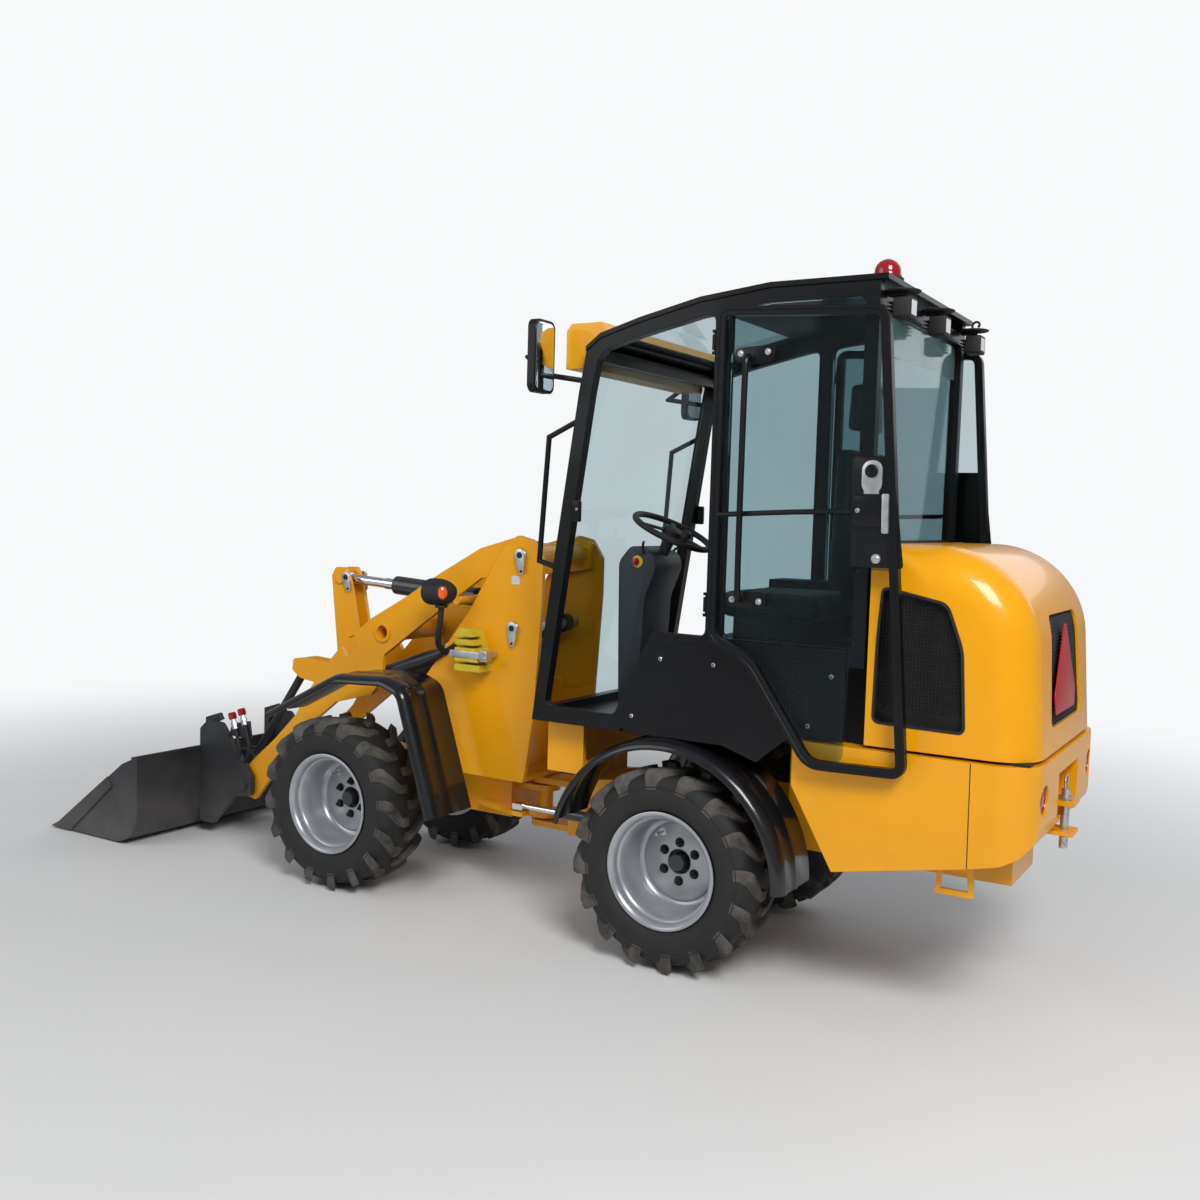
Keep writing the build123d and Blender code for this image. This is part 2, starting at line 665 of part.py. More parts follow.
for name, side in (("left", 1), ("right", -1)):
    low, high = sorted((side * door_in, side * door_out))
    pane_low, pane_high = sorted((side * (door_in + 10), side * (door_in + 16)))
    with BuildPart() as door_frame:
        extrude(door_face(low, 0), amount=high - low)
        extrude(door_face(low, 35), amount=high - low, mode=Mode.SUBTRACT)
        for z_low in hinge_heights:
            with BuildSketch(Plane.XY.offset(z_low)):
                with Locations((side * door_hinge_x, door_hinge_y)):
                    Circle(13)
            extrude(amount=50)
            x_low, x_high = sorted((side * door_hinge_x, side * (door_in + 12)))
            block((x_low, door_hinge_y + 8, z_low), (x_high, door_hinge_y + 18, z_low + 50))
            with BuildSketch(Plane.XY.offset(z_low - 1)):
                with Locations((side * door_hinge_x, door_hinge_y)):
                    Circle(hinge_rod + running_gap)
            extrude(amount=52, mode=Mode.SUBTRACT)
        rail_x = side * (door_out + 26)
        tube(((side * (door_out - 4), rail_y, rail_z[0]), (rail_x, rail_y, rail_z[0]), (rail_x, rail_y, rail_z[1]),
              (side * (door_out - 4), rail_y, rail_z[1])), 10)
        for z in rail_z:
            x_low, x_high = sorted((side * (door_in + 16 + seat_gap), side * (door_out + 1)))
            block((x_low, door_hinge_y + 20, z - 22), (x_high, rail_y + 22, z + 22))
        x_low, x_high = sorted((side * (door_in + 16 + seat_gap), side * (door_in + 24)))
        side_plate((x_low, x_high), (
            (1690, 1500), (1688, 1812), (1735, 1812), (1795, 1755), (1795, 1500),
        ), 12)
        x_low, x_high = sorted((side * (door_in + 23), side * (door_out + 16)))
        block((x_low, 1692, 1530), (x_high, 1730, 1640))
    write_piece(door_frame, f"door_{name}_frame")
    with BuildPart() as door_glass:
        extrude(door_face(pane_low, 35.3), amount=pane_high - pane_low)
    write_piece(door_glass, f"door_{name}_glass")

# Door hinges, pins held by ears on the cab's sides
with BuildPart() as door_hinges:
    for side in (1, -1):
        x_low, x_high = sorted((side * (cab_side_out + seat_gap), side * (door_hinge_x + 10)))
        for z_low in hinge_heights:
            for ear_z in (z_low - 16, z_low + 56):
                block((x_low, door_hinge_y - 10, ear_z), (x_high, door_hinge_y + 4, ear_z + 10))
            with BuildSketch(Plane.XY.offset(z_low - 16)):
                with Locations((side * door_hinge_x, door_hinge_y)):
                    Circle(hinge_rod)
            extrude(amount=82)

# Seat, steering column and side console inside the cab
with BuildPart() as seat:
    block((-240, 1060, 1250), (240, 1500, 1360))
    block((-230, 1480, 1340), (230, 1580, 1900))
    block((-130, 1500, 1920), (130, 1570, 2110))
    block((-60, 1520, 1890), (60, 1550, 1930))
    block((-180, 1120, 1168 + seat_gap), (180, 1440, 1260))
write_piece(seat, "seat")
with BuildPart() as steering_column:
    block((-120, 590, 860 + seat_gap), (120, 690, 1350))
    straight_bar((0, 640, 1330), (0, 765, 1560), 25)
    with BuildSketch(Plane(origin=(0, 765, 1560), x_dir=(1, 0, 0), z_dir=(0, 105, 230))) as wheel_ring:
        Circle(172)
        Circle(146, mode=Mode.SUBTRACT)
        Rectangle(300, 30)
        Circle(45)
    extrude(wheel_ring.sketch, amount=25)
write_piece(steering_column, "steering_column")
with BuildPart() as side_console:
    block((-440, 1060, 1168 + seat_gap), (-290, 1560, 1380))
write_piece(side_console, "side_console")

# Mirror heads on the ends of the cab frame's arms
with BuildPart() as mirrors:
    for side in (1, -1):
        with BuildSketch(Plane.XZ.offset(-mirror_y)):
            with Locations((side * mirror_x, 2180)):
                RectangleRounded(130, 260, 30)
        extrude(amount=-30)
write_piece(mirrors, "mirrors")

# Lamps on the roof's rear edge and the beacon
with BuildPart() as work_lamps:
    for x in (430, 40, -430):
        straight_bar((x, cab_rear_y + 30, 2318), (x, cab_rear_y + 90, 2306), 46)
        block((x - 20, cab_rear_y + seat_gap, 2312), (x + 20, cab_rear_y + 40, 2340))
write_piece(work_lamps, "work_lamps")
beacon_z = roof_line[-1][1] + roof_sheet + seat_gap
beacon_rings = ((0, 52), (14, 52), (18, 42), (48, 40), (66, 28), (74, 14))
with BuildPart() as beacon:
    for rise, radius in beacon_rings:
        with BuildSketch(Plane.XY.offset(beacon_z + rise)):
            with Locations((350, cab_rear_y - 30)):
                RegularPolygon(radius, 16)
    loft(ruled=True)
write_piece(beacon, "beacon")

# Engine hood, a rounded shell hinged at its front top edge, with openings for its grilles
hood_front_y = cab_rear_y + 10
hood_pin = (hood_front_y + 26, 1520)
hood_x = 300
hood_half = cab_side_out
hood_wall = 10
hood_corner = 170
hood_top = 1556
hood_shoulder = 120
hood_slope = ((hood_tail - 249, 1545), (hood_tail - 131, 1475), (hood_tail - 55, 1350), (hood_tail - 13, 1181))
hood_side = (
    (hood_front_y, 905), (hood_front_y, 1528), (hood_front_y + 22, 1550), *hood_slope, (hood_tail, 905),
)
hood_inner = (
    (hood_front_y - 48, 880), (hood_front_y - 48, 1540), (hood_tail - 254, 1535), (hood_tail - 139, 1467),
    (hood_tail - 65, 1345), (hood_tail - 23, 1179), (hood_tail - hood_wall, 880),
)
side_grille_points = (
    (hood_front_y + 21, 979), (hood_front_y + 25, 1244), (hood_front_y + 37, 1421),
    (hood_tail - 280, 1377), (hood_tail - 227, 1236), (hood_tail - 210, 973),
)
rear_grille_x, rear_grille_z = 260, (985, 1340)


def rounded_plan(half, front, tail, radius):
    """A plan outline with its two rear corners rounded."""
    with BuildSketch(Plane.XY) as plan:
        with BuildLine():
            Polyline((half, tail - radius), (half, front), (-half, front), (-half, tail - radius))
            RadiusArc((-half, tail - radius), (-half + radius, tail), radius)
            Line((-half + radius, tail), (half - radius, tail))
            RadiusArc((half - radius, tail), (half, tail - radius), radius)
        make_face()
    return plan.sketch


def rounded_back(half, top, radius):
    """An outline seen from behind, its two upper corners rounded, extruded along the hood."""
    with BuildSketch(Plane.XZ) as back:
        with BuildLine():
            Polyline((half, top - radius), (half, 0), (-half, 0), (-half, top - radius))
            RadiusArc((-half, top - radius), (-half + radius, top), radius)
            Line((-half + radius, top), (half - radius, top))
            RadiusArc((half - radius, top), (half, top - radius), radius)
        make_face()
    return back.sketch


with BuildPart() as hood_core:
    side_plate((-hood_half + hood_wall, hood_half - hood_wall), hood_inner)
    plan = rounded_plan(hood_half - hood_wall, 1600, hood_tail - hood_wall, hood_corner - hood_wall)
    extrude(plan, amount=2000, mode=Mode.INTERSECT)
    back = rounded_back(hood_half - hood_wall, hood_top - hood_wall, hood_shoulder - hood_wall)
    extrude(back, amount=-3000, mode=Mode.INTERSECT)
with BuildPart() as engine_hood:
    side_plate((-hood_half, hood_half), hood_side)
    extrude(rounded_plan(hood_half, 1600, hood_tail, hood_corner), amount=2000, mode=Mode.INTERSECT)
    extrude(rounded_back(hood_half, hood_top, hood_shoulder), amount=-3000, mode=Mode.INTERSECT)
    add(hood_core.part, mode=Mode.SUBTRACT)
    side_plate((-hood_half - 1, hood_half + 1), side_grille_points, 25, Mode.SUBTRACT)
    block(
        (-rear_grille_x, hood_tail - 180, rear_grille_z[0]), (rear_grille_x, hood_tail + 120, rear_grille_z[1]),
        Mode.SUBTRACT,
    )
    for x in (hood_x, -hood_x):
        cross_bar((x - 30, x + 30), hood_pin, 15)
        block((x - 30, hood_pin[0], hood_pin[1]), (x + 30, hood_pin[0] + 12, 1542))
        cross_bar((x - 31, x + 31), hood_pin, 8 + running_gap, Mode.SUBTRACT)
write_piece(engine_hood, "engine_hood")
with BuildPart() as hinges:
    for x in (hood_x, -hood_x):
        y, z = hood_pin
        cross_bar((x - 42, x + 42), hood_pin, 8)
        for x_low in (x - 42, x + 34):
            side_plate((x_low, x_low + 8), (
                (y - 10, z - 4), (y, z + 11), (y + 10, z - 4), (y + 6, z - 30), (y - 20, z - 95),
                (cab_rear_y + seat_gap, z - 95), (cab_rear_y + seat_gap, z - 60),
            ))
    add(door_hinges.part)
write_piece(hinges, "hinges")

# Grilles set into the hood's openings, slotted sheets
slot_pitch = 26
tail_slope = ((hood_tail - 62, 1361), *hood_slope[2:], (hood_tail, 905))
with BuildPart() as rear_grille:
    side_plate((-rear_grille_x + seat_gap, rear_grille_x - seat_gap),
               (*[(y - 8, z) for y, z in tail_slope], *[(y - 4, z) for y, z in reversed(tail_slope)]))
    block(
        (-400, hood_tail - 180, rear_grille_z[0] + seat_gap), (400, hood_tail + 120, rear_grille_z[1] - seat_gap),
        Mode.INTERSECT,
    )
    for n in range(12):
        z = 1004 + slot_pitch * n
        block(
            (-rear_grille_x + 25, hood_tail - 180, z), (rear_grille_x - 25, hood_tail + 120, z + 12), Mode.SUBTRACT,
        )
with BuildPart() as hood_grilles:
    with BuildSketch(Plane.YZ) as grille_face:
        with BuildLine():
            FilletPolyline(*side_grille_points, radius=25, close=True)
        make_face()
        offset(amount=-seat_gap)
    for span in spans(hood_half - 8, hood_half - 4):
        extrude(grille_face.sketch.moved(Location((span[0], 0, 0))), amount=4)
    for n in range(15):
        z = 1000 + slot_pitch * n
        reach = hood_tail - (285 if z > 1330 else 248)
        block((-hood_half, hood_front_y + 50, z), (hood_half, reach, z + 12), Mode.SUBTRACT)
    add(rear_grille.part)
write_piece(hood_grilles, "hood_grilles")
with BuildPart() as rear_triangle:
    side_plate((-rear_grille_x + seat_gap, rear_grille_x - seat_gap),
               (*[(y - 4 + seat_gap, z) for y, z in tail_slope], *[(y, z) for y, z in reversed(tail_slope)]))
    with BuildSketch(Plane.XZ) as warning:
        with BuildLine():
            FilletPolyline((50, 1328), (-120, 1080), (-104, 1020), (204, 1020), (220, 1080), radius=14, close=True)
        make_face()
    extrude(warning.sketch, amount=-3000, mode=Mode.INTERSECT)
write_piece(rear_triangle, "rear_triangle")

# Rear body: the ballast casting round the tail, open for the hitch, its lamps recessed
body_half = hood_half + 20
body_side = (
    (1515, 745), (1515, 895), (body_tail, 895), (body_tail, 700), (body_tail - 12, 652), (body_tail - 44, 614),
    (body_tail - 94, 588), (body_tail - 190, 565), (1666, 479),
)
hitch_gap = (165, 672, 830)
tail_lamp_x, tail_lamp_z, tail_lamp_radius = 375, 780, 45
with BuildPart() as rear_body:
    side_plate((-body_half, body_half), body_side)
    extrude(rounded_plan(body_half, 1500, body_tail, 130), amount=2000, mode=Mode.INTERSECT)
    block((-440, 1400, 400), (440, tail_plate_y + seat_gap, 900), Mode.SUBTRACT)
    block(
        (-hitch_gap[0], body_tail - 190, hitch_gap[1]), (hitch_gap[0], body_tail + 110, hitch_gap[2]), Mode.SUBTRACT,
    )
    block((-60.3, body_tail - 190, 540), (60.3, body_tail + 110, hitch_gap[1] + 1), Mode.SUBTRACT)
    for x in (tail_lamp_x, -tail_lamp_x):
        recess = ((x, body_tail - 24, tail_lamp_z), (x, body_tail + 10, tail_lamp_z))
        straight_bar(*recess, tail_lamp_radius + 4, Mode.SUBTRACT)
    loop_y = body_tail - 245
    for span in spans(body_half - 86, body_half - 74):
        side_plate(span, ((loop_y - 55, 545), (loop_y + 55, 565), (loop_y + 61, 453), (loop_y - 61, 453)))
        side_plate(span, (
            (loop_y - 39, 532), (loop_y + 39, 532), (loop_y + 43, 472), (loop_y - 43, 472),
        ), 0, Mode.SUBTRACT)
write_piece(rear_body, "rear_body")

# Hitch jaw on the end plate, and its loose pin with a handle
with BuildPart() as hitch:
    block((-60, tail_plate_y + seat_gap, 590), (60, body_tail - 90, 760))
    for z_low in (600, 700):
        block((-50, body_tail - 100, z_low), (50, body_tail + 31, z_low + 14))
    with BuildSketch(Plane.XY.offset(590)):
        with Locations((0, hitch_pin_y)):
            Circle(hitch_pin_radius + 0.5)
    extrude(amount=140, mode=Mode.SUBTRACT)
write_piece(hitch, "hitch")
with BuildPart() as hitch_pin:
    with BuildSketch(Plane.XY.offset(550)):
        with Locations((0, hitch_pin_y)):
            Circle(hitch_pin_radius)
    extrude(amount=200)
    with BuildSketch(Plane.XY.offset(714 + seat_gap)):
        with Locations((0, hitch_pin_y)):
            Circle(hitch_pin_radius + 9)
    extrude(amount=12)
write_piece(hitch_pin, "hitch_pin")

# Tail lamps
with BuildPart() as tail_lamps:
    for x in (tail_lamp_x, -tail_lamp_x):
        straight_bar((x, body_tail - 24 + seat_gap, tail_lamp_z), (x, body_tail - 4, tail_lamp_z), tail_lamp_radius)
write_piece(tail_lamps, "tail_lamps")
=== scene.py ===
import math
import bmesh
import bpy
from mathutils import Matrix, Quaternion, Vector


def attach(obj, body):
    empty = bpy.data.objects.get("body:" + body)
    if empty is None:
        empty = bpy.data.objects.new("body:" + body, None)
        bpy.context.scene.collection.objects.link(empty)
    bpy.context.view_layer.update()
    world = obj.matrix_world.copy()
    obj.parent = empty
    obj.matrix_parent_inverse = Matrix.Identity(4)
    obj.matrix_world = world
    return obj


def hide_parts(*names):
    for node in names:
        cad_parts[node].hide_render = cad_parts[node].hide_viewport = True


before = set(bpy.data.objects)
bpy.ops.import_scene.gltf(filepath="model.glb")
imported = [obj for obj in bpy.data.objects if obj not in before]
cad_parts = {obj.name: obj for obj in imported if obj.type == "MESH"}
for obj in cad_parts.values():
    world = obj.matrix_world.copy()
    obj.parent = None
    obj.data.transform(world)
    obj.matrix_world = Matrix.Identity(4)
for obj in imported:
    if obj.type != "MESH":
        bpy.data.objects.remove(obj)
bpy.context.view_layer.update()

# The studio: a camera where the photograph was taken from, behind the machine's left side,
# a large soft lamp on each side of it and one behind, a pale sky and a pale floor.
camera_place = Vector((4.218, 3.009, 1.616))
camera_forward = Vector((-0.8518, -0.5191, -0.07)).normalized()
camera_roll = 0.0292
camera_lens = 36.15
lamp_aim = Vector((0, 0, 0.9))
studio_lamps = (
    # name, place, size, power
    ("key_lamp", (5.0, 5.5, 6.5), 3.0, 560),
    ("fill_lamp", (6.5, -4.5, 4.5), 5.0, 150),
    ("back_lamp", (-6.5, 3.0, 5.5), 6.0, 110),
)
sky_light, sky_strength = (0.82, 0.88, 0.97, 1), 0.33
backdrop_white = (0.93, 0.94, 0.95, 1)
floor_size, fade_start, fade_end = 400, 2.0, 7.0

camera_turn = camera_forward.to_track_quat("-Z", "Y") @ Quaternion((0, 0, 1), camera_roll)
bpy.ops.object.select_all(action="DESELECT")
bpy.ops.object.camera_add(location=camera_place, rotation=camera_turn.to_euler())
camera = bpy.context.object
camera.data.lens = camera_lens
camera.data.sensor_width = 36
camera.data.clip_start = 0.05
bpy.context.scene.camera = camera
bpy.context.scene.view_settings.view_transform = "Standard"

for lamp_name, place, size, power in studio_lamps:
    bpy.ops.object.light_add(type="AREA", location=place)
    lamp = bpy.context.object
    lamp.name = lamp_name
    lamp.data.size = size
    lamp.data.energy = power
    lamp.rotation_euler = (lamp_aim - Vector(place)).to_track_quat("-Z", "Y").to_euler()


def wired(tree, node, *values, **named):
    """Sets a node's sockets in order or by name, From_Min for From Min, or links outputs to them."""
    for key, value in (*enumerate(values), *named.items()):
        socket = node.inputs[key.replace("_", " ") if isinstance(key, str) else key]
        if isinstance(value, bpy.types.NodeSocket):
            tree.links.new(value, socket)
        else:
            socket.default_value = value
    return node


def added(tree, kind, *values, operation="", **named):
    """Adds a shader node and sets or links its sockets."""
    node = tree.nodes.new("ShaderNode" + kind)
    if operation:
        node.operation = operation
    return wired(tree, node, *values, **named)


def seen(tree):
    """One for what the camera sees, straight or through glass, and nought for what only gives light."""
    rays = added(tree, "LightPath").outputs
    either = added(tree, "Math", rays["Is Camera Ray"], rays["Is Transmission Ray"], operation="MAXIMUM")
    return either.outputs[0]


sky = bpy.data.worlds.new("pale_sky")
bpy.context.scene.world = sky
sky.use_nodes = True
sky_tree = sky.node_tree
light_sky = wired(sky_tree, sky_tree.nodes["Background"], Color=sky_light, Strength=sky_strength)
seen_sky = added(sky_tree, "Background", Color=backdrop_white)
sky_mix = added(sky_tree, "MixShader", seen(sky_tree), light_sky.outputs[0], seen_sky.outputs[0])
wired(sky_tree, sky_tree.nodes["World Output"], Surface=sky_mix.outputs[0])


def finish_of(name, colour, rough, mottle=(3.0, 0.06), grain=(400.0, 0.02), metal=0.0, coat=0.0,
              edge=0.0, shine=0.5):
    """A finish whose colour varies a little over the piece, with a fine grain and softened edges."""
    material = bpy.data.materials.new(name)
    material.use_nodes = True
    tree = material.node_tree
    mottle_scale, mottle_depth = mottle
    grain_scale, grain_depth = grain
    place = added(tree, "TexCoord").outputs["Object"]
    patches = added(tree, "TexNoise", Vector=place, Scale=mottle_scale, Detail=6, Roughness=0.6)
    patchiness = patches.outputs["Fac"]
    tint = added(tree, "ValToRGB", patchiness)
    tint.name = "tint"
    steps = ((0.3, 1 - mottle_depth), (0.7, 1 + mottle_depth))
    for element, (position, factor) in zip(tint.color_ramp.elements, steps):
        element.position = position
        element.color = (*[min(1, part * factor) for part in colour], 1)
    gloss = added(tree, "MapRange", patchiness, To_Min=rough * 0.85, To_Max=min(1, rough * 1.2))
    fine = added(tree, "TexNoise", Vector=place, Scale=grain_scale)
    bump = added(tree, "Bump", Height=fine.outputs["Fac"], Strength=grain_depth, Distance=0.001)
    if edge:
        softened = added(tree, "Bevel", Radius=edge)
        softened.samples = 4
        wired(tree, bump, Normal=softened.outputs["Normal"])
    wired(tree, tree.nodes["Principled BSDF"], Metallic=metal, Coat_Weight=coat, Coat_Roughness=0.06,
          Specular_IOR_Level=shine, Roughness=gloss.outputs["Result"], Base_Color=tint.outputs["Color"],
          Normal=bump.outputs["Normal"])
    return material


bpy.ops.mesh.primitive_plane_add(size=floor_size, location=(0, 0, 0))
floor = bpy.context.object
floor.name = "floor"
pale_floor = finish_of("pale_floor", (0.74, 0.735, 0.72), 0.85, (0.5, 0.02), (60, 0.1))
floor.data.materials.append(pale_floor)
floor_tree = pale_floor.node_tree
bare_floor = floor_tree.nodes["Principled BSDF"].outputs[0]
far_off = added(floor_tree, "VectorMath", added(floor_tree, "TexCoord").outputs["Object"], operation="LENGTH")
fade_out = added(floor_tree, "MapRange", far_off.outputs["Value"], From_Min=fade_start, From_Max=fade_end)
fade_out.interpolation_type = "SMOOTHSTEP"
haze = added(floor_tree, "Emission", Color=backdrop_white)
haze_share = added(floor_tree, "Math", fade_out.outputs["Result"], seen(floor_tree), operation="MULTIPLY")
floor_mix = added(floor_tree, "MixShader", haze_share.outputs[0], bare_floor, haze.outputs[0])
wired(floor_tree, floor_tree.nodes["Material Output"], Surface=floor_mix.outputs[0])


# Painted steelwork: the frames, the loader arm, the bell crank, the tail casting, the visor and
# the wheel chock are welded or cast, then sprayed in one glossy amber yellow.
def dress(node_names, material):
    """Gives CAD nodes a finish."""
    for node_name in node_names:
        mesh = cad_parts[node_name].data
        mesh.materials.clear()
        mesh.materials.append(material)


def dirtied(material, dirt_colour, low, high, most):
    """Lays dust over a finish, thick at height low and gone at height high, in metres."""
    tree = material.node_tree
    place = added(tree, "TexCoord").outputs["Object"]
    height = added(tree, "SeparateXYZ", place).outputs["Z"]
    fade = added(tree, "MapRange", height, From_Min=low, From_Max=high, To_Min=most, To_Max=0)
    clouds = added(tree, "TexNoise", Vector=place, Scale=7, Detail=8)
    patchy = added(tree, "Math", fade.outputs["Result"], clouds.outputs["Fac"], operation="MULTIPLY")
    patchy.use_clamp = True
    blend = added(tree, "Mix")
    blend.data_type = "RGBA"
    clean_socket, dirt_socket, blended = blend.inputs[6], blend.inputs[7], blend.outputs[2]
    dirt_socket.default_value = (*dirt_colour, 1)
    tree.links.new(patchy.outputs[0], blend.inputs[0])
    tree.links.new(tree.nodes["tint"].outputs["Color"], clean_socket)
    wired(tree, tree.nodes["Principled BSDF"], Base_Color=blended)


amber = (0.84, 0.36, 0.002)
machine_yellow = finish_of("machine_yellow", amber, 0.32, (2.5, 0.05), (700, 0.02), coat=0.3,
                           edge=0.004, shine=0.3)
dirtied(machine_yellow, (0.3, 0.21, 0.1), 0.3, 0.7, 0.25)
dress(["boom", "front_frame", "rear_frame", "bell_crank", "front_visor", "rear_body", "hitch"],
      machine_yellow)
chock_yellow = finish_of("chock_yellow", (0.58, 0.44, 0.02), 0.5, (20, 0.1), (300, 0.1), edge=0.002)
dress(["wheel_chock"], chock_yellow)

# Cab, fenders, door frames and side panels: steel and moulded sheets in one satin black paint,
# with a light film of dust low down.
cab_black = finish_of("cab_black", (0.0045, 0.005, 0.006), 0.36, (3, 0.2), (500, 0.06), coat=0.08,
                      edge=0.004, shine=0.22)
dirtied(cab_black, (0.06, 0.052, 0.045), 0.2, 0.9, 0.3)
dress(["cab_frame", "front_fenders", "rear_fenders", "cab_tub", "roof", "door_left_frame", "door_right_frame",
       "hinges", "front_lamps", "work_lamps", "mirrors", "side_console", "steering_column"], cab_black)

# Bucket, tool carrier and link: thick plate under a dark grey paint that stones and gravel
# have rubbed and dusted.
bucket_grey = finish_of("bucket_grey", (0.022, 0.023, 0.026), 0.5, (6, 0.35), (250, 0.2), edge=0.003)
dirtied(bucket_grey, (0.2, 0.18, 0.16), 0.0, 0.4, 0.7)
dress(["bucket", "tool_carrier", "tip_link"], bucket_grey)

# Axles, engine and cylinder barrels: castings and drawn tube in dark grey paint, the castings
# dull and rough, the barrels smooth.
casting_grey = finish_of("casting_grey", (0.045, 0.046, 0.048), 0.58, (8, 0.25), (160, 0.3), edge=0.003)
barrel_black = finish_of("barrel_black", (0.016, 0.017, 0.019), 0.3, (8, 0.15), (500, 0.05), coat=0.4,
                         edge=0.002)
dress(["front_axle", "rear_axle", "engine"], casting_grey)
dress(["lift_barrels", "tilt_barrel", "steering_barrel"], barrel_black)

# Cylinder rods and the hitch's pin: ground steel under hard chrome, and a plated pin.
# The same plating is on the keepers, locks, screws and couplers further down.
rod_chrome = finish_of("rod_chrome", (0.72, 0.73, 0.75), 0.09, (5, 0.03), (900, 0.01), metal=1.0)
zinc = finish_of("zinc", (0.56, 0.57, 0.58), 0.36, (40, 0.15), (600, 0.06), metal=0.9, edge=0.001)
dress(["lift_rods", "tilt_rod", "steering_rod"], rod_chrome)
dress(["hitch_pin"], zinc)

# Cab glass and door panes: toughened sheets with a green-blue tint, glued in the cab's openings
# and bolted in the doors.
tinted_glass = finish_of("tinted_glass", (0.5, 0.6, 0.62), 0.02, (2, 0.03), (20, 0.0))
glass_shader = tinted_glass.node_tree.nodes["Principled BSDF"]
glass_shader.inputs["Transmission Weight"].default_value = 1.0
glass_shader.inputs["IOR"].default_value = 1.2
dress(["cab_glass", "door_left_glass", "door_right_glass"], tinted_glass)

# Tyres: black rubber with two rows of slanted lugs that meet along the middle of the tread.
# Sidewall and lugs are moulded in one, and the lugs' faces have brown dust on them.
wheel_x, front_axle_y, rear_axle_y, axle_z = 0.417, -0.56, 1.04, 0.37
wheel_places = (
    # name, side, axle y
    ("front_left", 1, front_axle_y),
    ("front_right", -1, front_axle_y),
    ("rear_left", 1, rear_axle_y),
    ("rear_right", -1, rear_axle_y),
)
sideways = (0, 90, 0)
side_profile = (
    # distance from the middle plane, radius
    (0.1, 0.1965), (0.101, 0.206), (0.108, 0.213), (0.117, 0.222), (0.1255, 0.24), (0.1285, 0.262),
    (0.1275, 0.282), (0.1245, 0.2965), (0.1265, 0.2985), (0.1265, 0.3025), (0.1235, 0.3045), (0.1195, 0.316),
    (0.11, 0.33), (0.094, 0.339), (0.06, 0.3445),
)
other_side = [(-x, radius) for x, radius in reversed(side_profile)]
tyre_profile = (*side_profile, (0, 0.3465), *other_side, side_profile[0])
lug_count = 16
lug_size, lug_start, lug_lead = (0.034, 0.036, 0.05), (0.021, 0, 0.34), 0.12
lug_steps = (
    # step outwards, turn back round the axle, lowering, widening
    (0.038, 0.118, 0.0, 1.0),
    (0.034, 0.1, -0.001, 1.08),
    (0.01, 0.018, -0.005, 1.0),
    (0.006, 0.008, -0.018, 1.0),
)
tread_radius, lug_round = 0.345, 0.0035
tyre_black = finish_of("tyre_black", (0.013, 0.0127, 0.0125), 0.72, (14, 0.3), (220, 0.35))
tread_dust = tyre_black.copy()
tread_dust.name = "dusty_tread"
dust_ramp = tread_dust.node_tree.nodes["tint"].color_ramp
dust_ramp.elements[0].color = (0.022, 0.02, 0.018, 1)
dust_ramp.elements[1].color = (0.12, 0.105, 0.09, 1)


def take(piece):
    """Makes a piece the one in hand, and the only one selected."""
    bpy.ops.object.select_all(action="DESELECT")
    piece.select_set(True)
    bpy.context.view_layer.objects.active = piece


def set_in_place(place=(0, 0, 0), turn=(0, 0, 0)):
    """Ends editing, turns the piece by degrees, moves it and fixes that in its mesh."""
    bpy.ops.object.mode_set(mode="OBJECT")
    piece = bpy.context.object
    piece.rotation_euler = [math.radians(angle) for angle in turn]
    piece.location = place
    bpy.ops.object.transform_apply(location=True, rotation=True, scale=True)
    return piece


def opened(kind="VERT"):
    """Opens the piece in hand for editing by corners or faces, with all of it selected."""
    bpy.ops.object.mode_set(mode="EDIT")
    bpy.ops.mesh.select_mode(type=kind)
    bpy.ops.mesh.select_all(action="SELECT")


def lathed(profile, corners=72, place=(0, 0, 0), turn=(0, 0, 0), squash=(1, 1, 1)):
    """A round form about the upright axis, drawn ring by ring through (height, radius) points."""
    bpy.ops.object.select_all(action="DESELECT")
    bpy.ops.mesh.primitive_circle_add(vertices=corners, radius=profile[0][1], location=(0, 0, 0))
    opened()
    bpy.ops.transform.translate(value=(0, 0, profile[0][0]))
    for (low, old_radius), (high, radius) in zip(profile, profile[1:]):
        bpy.ops.mesh.extrude_region_move(TRANSFORM_OT_translate={"value": (0, 0, high - low)})
        ratio = radius / old_radius
        bpy.ops.transform.resize(value=(ratio, ratio, 1), center_override=(0, 0, high))
    closed_up()
    bpy.ops.transform.resize(value=squash, center_override=(0, 0, 0))
    return set_in_place(place, turn)


def faced_out():
    """In editing, selects all and turns all faces outwards."""
    bpy.ops.mesh.select_all(action="SELECT")
    bpy.ops.mesh.normals_make_consistent(inside=False)


def closed_up():
    """In editing, merges the rings that meet and turns all faces outwards."""
    bpy.ops.mesh.select_all(action="SELECT")
    bpy.ops.mesh.remove_doubles(threshold=0.0003)
    faced_out()


def pick(kind, wanted):
    """In editing, selects the faces or edges whose middle and direction are wanted."""
    bpy.ops.mesh.select_mode(type=kind)
    bpy.ops.mesh.select_all(action="DESELECT")
    mesh = bmesh.from_edit_mesh(bpy.context.object.data)
    if kind == "FACE":
        for face in mesh.faces:
            face.select_set(bool(wanted(face.calc_center_median(), face.normal)))
    else:
        for edge in mesh.edges:
            start, end = edge.verts[0].co, edge.verts[1].co
            edge.select_set(bool(wanted((start + end) / 2, (end - start).normalized())))
    mesh.select_flush_mode()
    bmesh.update_edit_mesh(bpy.context.object.data)


